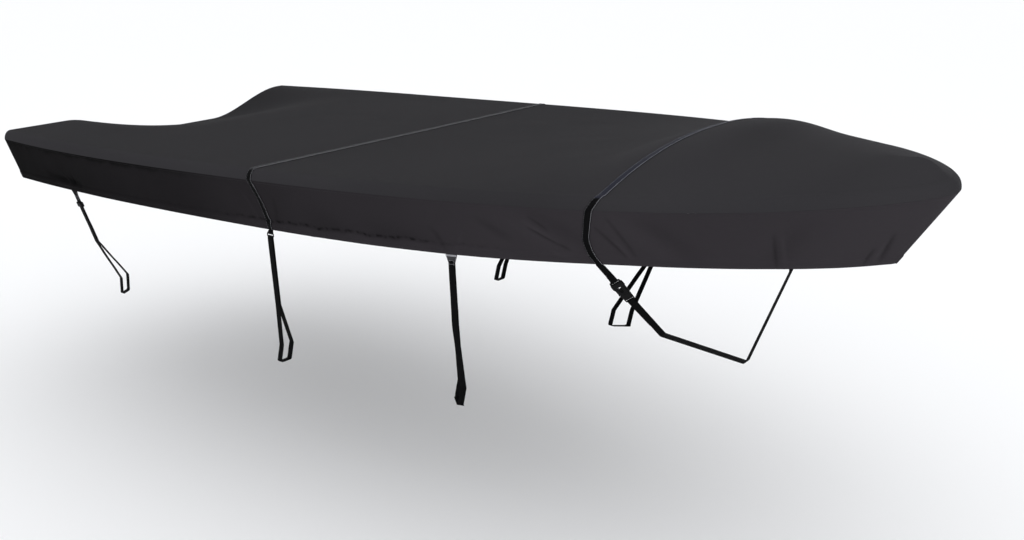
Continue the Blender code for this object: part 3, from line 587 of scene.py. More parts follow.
# ---------- shader maths
class Value:
    """A number socket that takes part in Python expressions."""

    def __init__(self, bench: "Bench", socket: Socket) -> None:
        """Wraps one output socket of the bench's material."""
        self.bench = bench
        self.socket = socket

    def __add__(self, other: "Number") -> "Value":
        """This plus the other."""
        return self.bench.maths("ADD", self, other)

    __radd__ = __add__

    def __sub__(self, other: "Number") -> "Value":
        """This less the other."""
        return self.bench.maths("SUBTRACT", self, other)

    def __rsub__(self, other: "Number") -> "Value":
        """The other less this."""
        return self.bench.maths("SUBTRACT", other, self)

    def __mul__(self, other: "Number") -> "Value":
        """This times the other."""
        return self.bench.maths("MULTIPLY", self, other)

    __rmul__ = __mul__

    def __truediv__(self, other: "Number") -> "Value":
        """This over the other."""
        return self.bench.maths("DIVIDE", self, other)

    def __rtruediv__(self, other: "Number") -> "Value":
        """The other over this."""
        return self.bench.maths("DIVIDE", other, self)

    def rise(self, low: float, high: float) -> "Value":
        """Smooth rise, or a fall where low is the larger.

        Args:
            low: Where it is 0.
            high: Where it is 1.

        Returns:
            The rise.
        """
        made = self.bench.node(
            "ShaderNodeMapRange", {"interpolation_type": "SMOOTHSTEP"},
            {"Value": self, "From Min": low, "From Max": high},
        )
        return Value(self.bench, made.outputs["Result"])

    def sine(self) -> "Value":
        """Its sine."""
        return self.bench.maths("SINE", self)


Number = Union[Value, float]


class Bench:
    """The node tree of one material, and the few ways that finishes add nodes to it."""

    MIX_FACTOR, MIX_A, MIX_B, MIX_RESULT = 0, 6, 7, 2

    def __init__(self, name: str) -> None:
        """Starts a material with its Principled shader.

        Args:
            name: The material's name.
        """
        self.material = bpy.data.materials.new(name)
        self.material.use_nodes = True
        self.tree = self.material.node_tree
        self.shader = self.tree.nodes["Principled BSDF"]

    def node(
        self, kind: str, settings: Optional[Dict[str, Any]] = None, inputs: Optional[Dict[Any, Any]] = None
    ) -> bpy.types.Node:
        """Adds a node.

        Args:
            kind: Blender's name for the node's type.
            settings: Its properties, set first; a ramp's stops are given as "stops".
            inputs: A value or a link for each of its sockets, by name or number.

        Returns:
            The node.
        """
        made = self.tree.nodes.new(kind)
        for key, value in (settings or {}).items():
            if key == "stops":
                self._stops(made, value)
            else:
                setattr(made, key, value)
        for key, value in (inputs or {}).items():
            self.feed(made.inputs[key], value)
        return made

    @staticmethod
    def _stops(ramp: bpy.types.Node, stops: Sequence[Tuple[float, Colour]]) -> None:
        """Gives a colour ramp its stops.

        Args:
            ramp: The ramp's node.
            stops: The position and colour of each.
        """
        elements = ramp.color_ramp.elements
        while len(elements) < len(stops):
            elements.new(1.0)
        for element, (position, colour) in zip(elements, stops):
            element.position = position
            element.color = (*colour, 1.0)

    def feed(self, socket: Socket, value: Any) -> None:
        """Links a socket to a value's socket, or sets it.

        Args:
            socket: The socket.
            value: A value, a socket, or a number or colour.
        """
        if isinstance(value, Value):
            self.tree.links.new(value.socket, socket)
        elif isinstance(value, Socket):
            self.tree.links.new(value, socket)
        elif isinstance(value, tuple) and len(value) == 3 and socket.type == "RGBA":
            socket.default_value = (*value, 1.0)
        else:
            socket.default_value = value

    def maths(self, operation: str, first: Number, second: Number = 0.0) -> Value:
        """A Math node on two numbers."""
        made = self.node("ShaderNodeMath", {"operation": operation}, {0: first, 1: second})
        return Value(self, made.outputs[0])

    def blend(self, factor: Number, first: Any, second: Any) -> Socket:
        """A colour between two.

        Args:
            factor: 0 for the first, 1 for the second.
            first: A colour, or a link to it.
            second: A colour, or a link to it.

        Returns:
            The colour's socket.
        """
        made = self.node(
            "ShaderNodeMix", {"data_type": "RGBA"},
            {self.MIX_FACTOR: factor, self.MIX_A: first, self.MIX_B: second},
        )
        return made.outputs[self.MIX_RESULT]

    def place(self) -> Socket:
        """Position on the piece, in metres."""
        return self.node("ShaderNodeTexCoord").outputs["Object"]

    def cut(self) -> Socket:
        """Position on the flat cut of the cloth, in metres."""
        return self.node("ShaderNodeUVMap", {"uv_map": UV_NAME}).outputs["UV"]

    def tone(self) -> Value:
        """Painted shade and light of the cloth's folds, slopes and overhang, from its tone map: 1 where none
        is painted.
        """
        return self.parts(self.node("ShaderNodeUVMap", {"uv_map": TONE_NAME}).outputs["UV"])[0]

    def scaled(self, colour: Any, factor: Number) -> Socket:
        """A colour made lighter or darker by a factor."""
        made = self.node("ShaderNodeVectorMath", {"operation": "SCALE"}, {0: colour, "Scale": factor})
        return made.outputs[0]

    def ramp(self, position: Number, stops: Sequence[Tuple[float, float]]) -> Value:
        """A number that follows a table.

        Args:
            position: Where in the table, from 0 to 1.
            stops: Positions and values.

        Returns:
            The value there.
        """
        greys = [(at, (value, value, value)) for at, value in stops]
        made = self.node("ShaderNodeValToRGB", {"stops": greys}, {0: position})
        return self.parts(made.outputs["Color"])[0]

    def parts(self, vector: Socket) -> Tuple[Value, Value, Value]:
        """The three numbers of a vector."""
        made = self.node("ShaderNodeSeparateXYZ", None, {0: vector})
        return tuple(Value(self, made.outputs[k]) for k in range(3))

    def noise(self, vector: Socket, scale: float, detail: float = 3.0) -> Value:
        """Even noise of about 0 to 1."""
        made = self.node("ShaderNodeTexNoise", None, {"Vector": vector, "Scale": scale, "Detail": detail})
        return Value(self, made.outputs["Fac"])

    def stretched(self, vector: Socket, scale: Triple) -> Socket:
        """A vector with each direction scaled."""
        made = self.node("ShaderNodeVectorMath", {"operation": "MULTIPLY"}, {0: vector, 1: scale})
        return made.outputs[0]

    def bump(self, height: Value, distance: float, strength: float = 1.0) -> None:
        """Raises the surface, through the shader's normal.

        Args:
            height: How high, of about 0 to 1.
            distance: Height of 1, in metres.
            strength: Share of it that shows.
        """
        made = self.node(
            "ShaderNodeBump", None, {"Height": height, "Distance": distance, "Strength": strength}
        )
        self.feed(self.shader.inputs["Normal"], made.outputs["Normal"])

    def finish(self, colour: Any, roughness: Any, **constants: float) -> Material:
        """Sets the shader's colour, roughness and constants.

        Args:
            colour: Base colour, or a link to it.
            roughness: Roughness, or a link to it.
            constants: Other sockets, by name with underscores for spaces.

        Returns:
            The material.
        """
        self.feed(self.shader.inputs["Base Color"], colour)
        self.feed(self.shader.inputs["Roughness"], roughness)
        for name, value in constants.items():
            self.feed(self.shader.inputs[name.replace("_", " ")], value)
        return self.material


# ---------- finishes
@dataclass(frozen=True)
class Finish:
    """What every finish has."""

    name: str

    def material(self) -> Material:
        """Builds the material."""
        raise NotImplementedError


@lru_cache(maxsize=None)
def material_of(finish: Finish) -> Material:
    """The material of a finish, built once."""
    return finish.material()


@dataclass(frozen=True)
class ClothFinish(Finish):
    """Coated polyester cloth: fine weave, cloudy dye and a slight sheen."""

    light: Colour
    dark: Colour
    # painted shade and light along the boat, standing in for light that falls unevenly on it: share of its
    # length from the stern, share of its colour
    fade: Tuple[Tuple[float, float], ...] = ((0.0, 1.0), (1.0, 1.0))
    stern: float = -2.05
    length: float = 4.1
    thread: float = 0.0011
    cloud: float = 2.2
    grain: Triple = (900.0, 260.0, 1.0)
    slub: Triple = (30.0, 900.0, 1.0)
    wrinkle: Triple = (9.0, 9.0, 26.0)
    relief: float = 0.0016
    wander: float = 0.08
    rough: float = 0.82

    def material(self) -> Material:
        """Builds the material.

        Returns:
            Cloth with painted shade and light along the boat and in its folds.
        """
        bench = Bench(self.name)
        place, cut = bench.place(), bench.cut()
        cloud = bench.noise(place, self.cloud, 2.0)
        grain = bench.noise(bench.stretched(cut, self.grain), 1.0, 2.0)
        slub = bench.noise(bench.stretched(cut, self.slub), 1.0, 2.0)
        mottle = cloud * 0.45 + grain * 0.30 + slub * 0.25
        colour: Any = bench.blend(mottle.rise(0.30, 0.70), self.dark, self.light)
        along, _, _ = bench.parts(place)
        wander = (bench.noise(place, 1.3, 2.0) - 0.5) * self.wander
        share = (along - self.stern) / self.length + wander
        # Painted shade and light: the colour is scaled along the boat by the fade table and by the tone map's
        # painted shade of folds, slopes and overhang
        colour = bench.scaled(colour, bench.ramp(share, self.fade) * bench.tone())
        u, v, _ = bench.parts(cut)
        turn = 2 * math.pi / self.thread
        weave = (u * turn).sine() * (v * turn).sine()
        wrinkle = bench.noise(bench.stretched(place, self.wrinkle), 1.0, 4.0)
        bench.bump(weave * 0.06 + grain * 0.10 + wrinkle, self.relief, 0.55)
        roughness = cloud * 0.10 + grain * 0.05 + (self.rough - 0.075)
        return bench.finish(colour, roughness, Specular_IOR_Level=0.03)


@dataclass(frozen=True)
class WebbingFinish(Finish):
    """Woven polypropylene webbing: ribs across it and a herringbone of threads."""

    light: Colour
    dark: Colour
    # its plain colour at the far side of the boat, where the painted blue sky reflection of the near side
    # gives way
    faded: Optional[Colour] = None
    fading: Tuple[float, float] = (-0.15, 0.45)
    rib: float = 0.0022
    cord: float = 0.0031
    wear: Triple = (40.0, 700.0, 1.0)
    rough: float = 0.62

    def material(self) -> Material:
        """Builds the material.

        Returns:
            Ribbed webbing with dust and wear, blended towards a far-side colour where one is given.
        """
        bench = Bench(self.name)
        place, cut = bench.place(), bench.cut()
        u, v, _ = bench.parts(cut)
        turn = 2 * math.pi / self.rib
        skew = bench.maths("ABSOLUTE", v)
        ribs = ((u + skew * 0.7) * turn).sine() * 0.5 + 0.5
        cord = (v * (2 * math.pi / self.cord)).sine() * 0.5 + 0.5
        dust = bench.noise(place, 55.0, 4.0)
        wear = bench.noise(bench.stretched(cut, self.wear), 1.0, 3.0)
        tone = ribs * 0.35 + cord * 0.15 + dust * 0.30 + wear * 0.20
        colour = bench.blend(tone.rise(0.25, 0.75), self.dark, self.light)
        # Painted reflection: the near side's blue sky reflection gives way to the plain colour towards the
        # far side
        if self.faded is not None:
            _, port, _ = bench.parts(place)
            colour = bench.blend(port.rise(*self.fading), colour, self.faded)
        bench.bump(ribs * 0.7 + cord * 0.3 + wear * 0.2, 0.0004, 0.8)
        roughness = dust * 0.16 + (self.rough - 0.08)
        return bench.finish(colour, roughness, Specular_IOR_Level=0.03)


@dataclass(frozen=True)
class ThreadFinish(Finish):
    """Twisted sewing thread."""

    light: Colour
    dark: Colour
    twist: Triple = (1500.0, 500.0, 1500.0)

    def material(self) -> Material:
        """Builds the material.

        Returns:
            Matt thread with its twist.
        """
        bench = Bench(self.name)
        place = bench.place()
        tone = bench.noise(place, 420.0, 2.0)
        colour = bench.blend(tone.rise(0.3, 0.7), self.dark, self.light)
        twist = bench.noise(bench.stretched(place, self.twist), 1.0, 2.0)
        bench.bump(twist, 0.0002, 0.6)
        return bench.finish(colour, tone * 0.1 + 0.6, Specular_IOR_Level=0.1)


@dataclass(frozen=True)
class PlasticFinish(Finish):
    """Moulded acetal with the fine grain of its mould and paler rubbed places."""

    base: Colour
    rubbed: Colour

    def material(self) -> Material:
        """Builds the material.

        Returns:
            Grained plastic, scuffed in places.
        """
        bench = Bench(self.name)
        place = bench.place()
        grain = bench.noise(place, 1400.0, 3.0)
        scuff = bench.noise(place, 90.0, 4.0)
        wear = scuff.rise(0.52, 0.75) * 0.5
        colour = bench.blend(wear, self.base, self.rubbed)
        bench.bump(grain * 0.6 + scuff * 0.4, 0.0003, 0.5)
        return bench.finish(colour, scuff * 0.22 + 0.40, Specular_IOR_Level=0.09)


@dataclass(frozen=True)
class FloorFinish(Finish):
    """Plain pale studio floor."""

    colour: Colour
    other: Colour

    def material(self) -> Material:
        """Builds the material.

        Returns:
            A matt floor, almost even.
        """
        bench = Bench(self.name)
        tone = bench.noise(bench.place(), 1.5, 2.0)
        return bench.finish(bench.blend(tone * 0.04, self.colour, self.other), 0.9)


@dataclass(frozen=True)
class Wardrobe:
    """Every finish of the cover, and the floor's."""

    # Painted light and shade: the top's fade table darkens and lightens it along the boat to even out how the
    # light falls on it
    top: ClothFinish = ClothFinish(
        "cloth_top", (0.0335, 0.0322, 0.0348), (0.0305, 0.0293, 0.0323),
        fade=((0.0, 0.547), (0.146, 0.513), (0.30, 0.546), (0.54, 0.576), (0.66, 0.586), (0.75, 0.61),
              (0.83, 0.724), (0.93, 0.693), (1.0, 0.81)),
    )
    # Painted shade: the skirt's fade table makes it much darker towards the stern, where it lies in shade
    skirt: ClothFinish = ClothFinish(
        "cloth_skirt", (0.0350, 0.0313, 0.0355), (0.0300, 0.0268, 0.0305),
        fade=((0.02, 0.07), (0.10, 0.15), (0.18, 0.22), (0.28, 0.29), (0.35, 0.35), (0.48, 0.64),
              (0.60, 0.78), (0.68, 0.90), (1.0, 1.02)),
    )
    # Painted shade: the same cloth made much darker on the transom, which faces away from the light
    transom: ClothFinish = ClothFinish("cloth_transom", (0.0088, 0.0078, 0.0090), (0.0072, 0.0064, 0.0074))
    webbing: WebbingFinish = WebbingFinish(
        "webbing_black", (0.0042, 0.0042, 0.0046), (0.0014, 0.0014, 0.0016),
    )
    # Painted sheen: the black webbing made grey where it lies on top, standing in for the sky that its sheen
    # reflects there
    sewn: WebbingFinish = WebbingFinish("webbing_sewn", (0.0270, 0.0270, 0.0290), (0.0180, 0.0180, 0.0195))
    # Painted reflection: dark webbing with a blue sky reflection painted in on the near side, plainer on the
    # far side
    dark: WebbingFinish = WebbingFinish(
        "webbing_dark", (0.0210, 0.0220, 0.0320), (0.0140, 0.0145, 0.0220), faded=(0.0270, 0.0270, 0.0300),
    )
    tab: WebbingFinish = WebbingFinish("webbing_tab", (0.062, 0.061, 0.065), (0.032, 0.032, 0.034))
    white: ThreadFinish = ThreadFinish("thread_white", (0.52, 0.52, 0.55), (0.36, 0.36, 0.39))
    grey: ThreadFinish = ThreadFinish("thread_grey", (0.030, 0.028, 0.031), (0.021, 0.020, 0.022))
    plastic: PlasticFinish = PlasticFinish("acetal_black", (0.0035, 0.0035, 0.0040), (0.012, 0.012, 0.013))
    floor: FloorFinish = FloorFinish("studio_floor", (0.90, 0.90, 0.90), (0.9, 0.9, 0.9))


# ---------- mesh tools
@dataclass(frozen=True)
class Join:
    """How a mesh becomes a piece: what is joined, and what is shaded smooth."""

    distance: float
    smooth_degrees: float

    def piece(
        self, name: str, mesh: bpy.types.Mesh, finishes: Sequence[Finish], slot: Slot, replaces: Sequence[str]
    ) -> Piece:
        """Joins a mesh's doubled points and hangs it on the cover.

        Args:
            name: The piece's name.
            mesh: Its faces.
            finishes: Its finishes, by number.
            slot: Not used.
            replaces: The solids that it stands for.

        Returns:
            The piece.
        """
        bm = bmesh.new()
        bm.from_mesh(mesh)
        bmesh.ops.remove_doubles(bm, verts=bm.verts, dist=self.distance)
        bmesh.ops.recalc_face_normals(bm, faces=bm.faces)
        bm.to_mesh(mesh)
        bm.free()
        mesh.shade_smooth()
        mesh.set_sharp_from_angle(angle=math.radians(self.smooth_degrees))
        for finish in finishes:
            mesh.materials.append(material_of(finish))
        made = bpy.data.objects.new(name, mesh)
        bpy.context.scene.collection.objects.link(made)
        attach(made, ROOT)
        if replaces:
            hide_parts(*replaces)
        log.info("%s: %d faces", name, len(mesh.polygons))
        return made


class Weaver:
    """Collects faces with their places on the flat cut, and makes one piece of them."""

    JOIN = Join(0.000005, 60.0)

    def __init__(self) -> None:
        """Starts an empty piece."""
        self.points: List[Array] = []
        self.faces: List[Tuple[int, ...]] = []
        self.uvs: List[Tuple[float, float]] = []
        self.tones: Dict[int, Array] = {}
        self.finishes: List[int] = []
        self.count = 0

    def add(self, points: Array, uvs: Array) -> int:
        """Adds points.

        Args:
            points: The points.
            uvs: The place of each on the flat cut.

        Returns:
            The number of the first.
        """
        first = self.count
        points = np.asarray(points, float).reshape(-1, 3)
        self.points.append(points)
        self.uvs += [tuple(uv) for uv in np.asarray(uvs, float).reshape(-1, 2)]
        self.count += len(points)
        return first

    def face(self, *corners: int, finish: int = 0) -> None:
        """Adds a face between points."""
        self.faces.append(corners)
        self.finishes.append(finish)

    def grid(self, points: Array, uvs: Array, flip: bool = False, finish: Any = 0) -> int:
        """Adds a grid of points and its faces.

        Args:
            points: Rows of points.
            uvs: The place of each on the flat cut.
            flip: Whether its faces turn the other way.
            finish: Number of the finish, or one for each column of faces.

        Returns:
            The number of its first point.
        """
        rows, columns = points.shape[:2]
        first = self.add(points, uvs)
        for i in range(rows - 1):
            for j in range(columns - 1):
                a = first + i * columns + j
                corners = (a, a + columns, a + columns + 1, a + 1)
                number = finish if isinstance(finish, int) else int(finish[i])
                self.face(*(reversed(corners) if flip else corners), finish=number)
        return first

    @staticmethod
    def write_map(mesh: bpy.types.Mesh, name: str, values: Array, corners: Array) -> None:
        """Writes two numbers for each point as one of the mesh's maps."""
        layer = mesh.uv_layers.new(name=name)
        layer.data.foreach_set("uv", values.astype(np.float32)[corners].ravel())

    def piece(
        self, name: str, finishes: Sequence[Finish], slot: Slot, replaces: Sequence[str] = ()
    ) -> Piece:
        """Makes the piece and hangs it on the cover.

        Args:
            name: Its name.
            finishes: Its finishes, by number.
            slot: Passed on to the piece, where it is not used.
            replaces: The solids that it stands for.

        Returns:
            The piece.
        """
        mesh = bpy.data.meshes.new(name)
        mesh.from_pydata(np.concatenate(self.points).tolist(), [], self.faces)
        corners = np.zeros(len(mesh.loops), dtype=np.int32)
        mesh.loops.foreach_get("vertex_index", corners)
        self.write_map(mesh, UV_NAME, np.array(self.uvs), corners)
        if self.tones:
            tone = np.ones((self.count, 2))
            for first, values in self.tones.items():
                tone[first:first + values.size, 0] = values.ravel()
            self.write_map(mesh, TONE_NAME, tone, corners)
        mesh.polygons.foreach_set("material_index", np.array(self.finishes, dtype=np.int32))
        return self.JOIN.piece(name, mesh, finishes, slot, replaces)


def rounded_path(points: Sequence[Array], radius: float, steps: int = 6) -> List[Array]:
    """Straight runs between points, with each corner rounded.

    Args:
        points: The route's corners.
        radius: Radius of the corners, less where a run is short.
        steps: Steps round each corner.

    Returns:
        The path's points.
    """
    points = [np.asarray(p, float) for p in points]
    path = [points[0]]
    for before, corner, after in zip(points, points[1:], points[2:]):
        start, end = unit(before - corner), unit(after - corner)
        half_angle = math.acos(float(np.clip(start @ end, -1, 1))) / 2
        reach = min(
            radius / math.tan(half_angle),
            MOST_OF_RUN * np.linalg.norm(before - corner),
            MOST_OF_RUN * np.linalg.norm(after - corner),
        )
        centre = corner + unit(start + end) * (reach / math.cos(half_angle))
        first, last = corner + start * reach - centre, corner + end * reach - centre
        sweep = math.pi - 2 * half_angle
        for step in range(steps + 1):
            share = step / steps
            turned = first * math.sin((1 - share) * sweep) + last * math.sin(share * sweep)
            bend = centre + turned / math.sin(sweep)
            if np.linalg.norm(bend - path[-1]) > LEAST_STEP:
                path.append(bend)
    path.append(points[-1])
    return path


def lengths_along(line: Array) -> Array:
    """How far along a line each of its points is."""
    return np.concatenate([[0.0], np.cumsum(np.linalg.norm(np.diff(line, axis=0), axis=1))])


def denser(path: Sequence[Array], spacing: float) -> List[Array]:
    """The same path with more points.

    Args:
        path: Its points.
        spacing: The most that two may be apart.

    Returns:
        The path's points, with the new ones between them.
    """
    out = [path[0]]
    for before, after in zip(path, path[1:]):
        count = max(1, math.ceil(float(np.linalg.norm(after - before)) / spacing))
        out += [before + (after - before) * k / count for k in range(1, count + 1)]
    return out


def ribbon_rows(path: Sequence[Array], across: Any, widths: Any, closed: bool = False) -> List[Row]:
    """Edge points and facing of webbing along a path.

    Args:
        path: Its inner face.
        across: The direction of each row, one for all or one for each point.
        widths: Its width, one for all or one for each point.
        closed: Whether it is a loop.

    Returns:
        Left point, right point and facing for each point of the path.
    """
    rows = []
    for i, point in enumerate(path):
        if closed:
            tangent = unit(path[(i + 1) % len(path)] - path[i - 1])
        else:
            tangent = unit(path[min(i + 1, len(path) - 1)] - path[max(i - 1, 0)])
        width_way = across[i] if isinstance(across, list) else across
        width = widths[i] if isinstance(widths, list) else widths
        square = np.cross(width_way, tangent)
        step = width_way * width / 2 / np.linalg.norm(square)
        rows.append((point - step, point + step, unit(square)))
    return rows


def mirrored(rows: Sequence[Row]) -> List[Row]:
    """The same rows on the other side, in the reverse order."""
    flip = np.array([1.0, -1.0, 1.0])
    return [(left * flip, right * flip, facing * flip) for left, right, facing in reversed(rows)]


def row_centre(row: Row) -> Array:
    """Middle of a row."""
    return (row[0] + row[1]) / 2


@dataclass
class WebbingProfile:
    """Cross-section of webbing: flat, with soft edges."""

    width: float = 0.025
    thickness: float = 0.0018
    # share of the half width, share of the thickness
    section: Tuple[Tuple[float, float], ...] = (
        (-1.0, 0.5), (-0.95, 0.90), (-0.80, 1.0), (-0.30, 1.0), (0.0, 0.97), (0.30, 1.0), (0.80, 1.0),
        (0.95, 0.90), (1.0, 0.5), (0.95, 0.10), (0.80, 0.0), (-0.80, 0.0), (-0.95, 0.10),
    )

    def weave(
        self, weaver: Weaver, rows: Sequence[Row], place: Placing, closed: bool = False,
        finish: Optional[Sequence[int]] = None,
    ) -> None:
        """Adds webbing along rows.

        Args:
            weaver: What it is added to.
            rows: Its rows of edge points.
            place: Moves points to the object's frame.
            closed: Whether the last row meets the first.
            finish: Number of the finish from each row on.
        """
        along = lengths_along(np.array([row_centre(row) for row in rows]))
        finish = [0] * len(rows) if finish is None else finish
        size = len(self.section)
        first = None
        for k, (left, right, facing) in enumerate(rows):
            middle, half = (left + right) / 2, (right - left) / 2
            ring = [middle + half * s + facing * self.thickness * h for s, h in self.section]
            reach = float(np.linalg.norm(half))
            start = weaver.add(place(np.array(ring)), [(along[k], s * reach) for s, _ in self.section])
            first = start if first is None else first
        pairs = [(first + k * size, first + (k + 1) * size) for k in range(len(rows) - 1)]
        if closed:
            pairs.append((first + (len(rows) - 1) * size, first))
        for k, (here, there) in enumerate(pairs):
            for j in range(size):
                ahead = (j + 1) % size
                weaver.face(here + j, here + ahead, there + ahead, there + j, finish=finish[k])
        if not closed:
            weaver.face(*range(first, first + size), finish=finish[0])
            weaver.face(*reversed(range(pairs[-1][1], pairs[-1][1] + size)), finish=finish[-1])


@dataclass(frozen=True)
class Stitching:
    """A row of stitches: short raised bars of thread along a line."""

    length: float = 0.005
    pitch: float = 0.007
    width: float = 0.0012
    height: float = 0.0006
    sink: float = 0.0002
    # share of its height at a stitch's start, middle and end
    rounding: Triple = (0.35, 1.0, 0.35)

    def sew(self, weaver: Weaver, line: Array, facings: Array, place: Placing) -> None:
        """Adds the stitches along a line.

        Args:
            weaver: What they are added to.
            line: The line's points.
            facings: The surface's facing at each.
            place: Moves points to the object's frame.
        """
        along = lengths_along(line)
        for begin in np.arange(0.0, along[-1] - self.length, self.pitch):
            stops = np.array([begin, begin + self.length / 2, begin + self.length])
            centre = np.stack([np.interp(stops, along, line[:, k]) for k in range(3)], -1)
            facing = unit(np.stack([np.interp(stops, along, facings[:, k]) for k in range(3)], -1))
            ahead = unit(centre[2] - centre[0])
            aside = unit(np.cross(ahead, facing[1])) * self.width / 2
            lift = np.array(self.rounding)[:, None] * facing * self.height
            low = centre - facing * self.sink
            ring = np.stack([low - aside, centre + lift, low + aside], 1)
            first = weaver.add(place(ring.reshape(-1, 3)), np.zeros((9, 2)))
            for k in range(2):
                a = first + k * 3
                weaver.face(a, a + 1, a + 4, a + 3)
                weaver.face(a + 1, a + 2, a + 5, a + 4)
                weaver.face(a + 2, a, a + 3, a + 5)
            weaver.face(first, first + 2, first + 1)
            weaver.face(first + 6, first + 7, first + 8)


@dataclass
class WebbingSeams:
    """The stitching of one piece's webbing."""

    place: Placing
    thickness: float
    weaver: Weaver = field(default_factory=Weaver)
    ends: Tuple[float, float] = (0.12, 0.88)

    def along(self, stitching: Stitching, rows: Sequence[Row], forward_edge: bool, inset: float) -> None:
        """Sews along an edge of the webbing's outer face.

        Args:
            stitching: The stitches.
            rows: The webbing's rows.
            forward_edge: Whether it is the edge of the rows' second points.
            inset: How far in from the edge.
        """
        one, other = (1, 0) if forward_edge else (0, 1)
        line = [row[one] + unit(row[other] - row[one]) * inset + row[2] * self.thickness for row in rows]
        stitching.sew(self.weaver, np.array(line), np.array([row[2] for row in rows]), self.place)

    def across(self, stitching: Stitching, row: Row, ends: Optional[Tuple[float, float]] = None) -> None:
        """Sews across the webbing's outer face.

        Args:
            stitching: The stitches.
            row: Where.
            ends: Shares of the width between which it runs, if not the usual ones.
        """
        left, right, facing = row
        start, end = left + facing * self.thickness, right + facing * self.thickness
        line = start + (end - start) * np.array(ends or self.ends)[:, None]
        stitching.sew(self.weaver, line, np.array([facing, facing]), self.place)

    def piece(self, name: str, finish: Finish, slot: Slot) -> Piece:
        """Makes the piece."""
        return self.weaver.piece(name, [finish], slot)


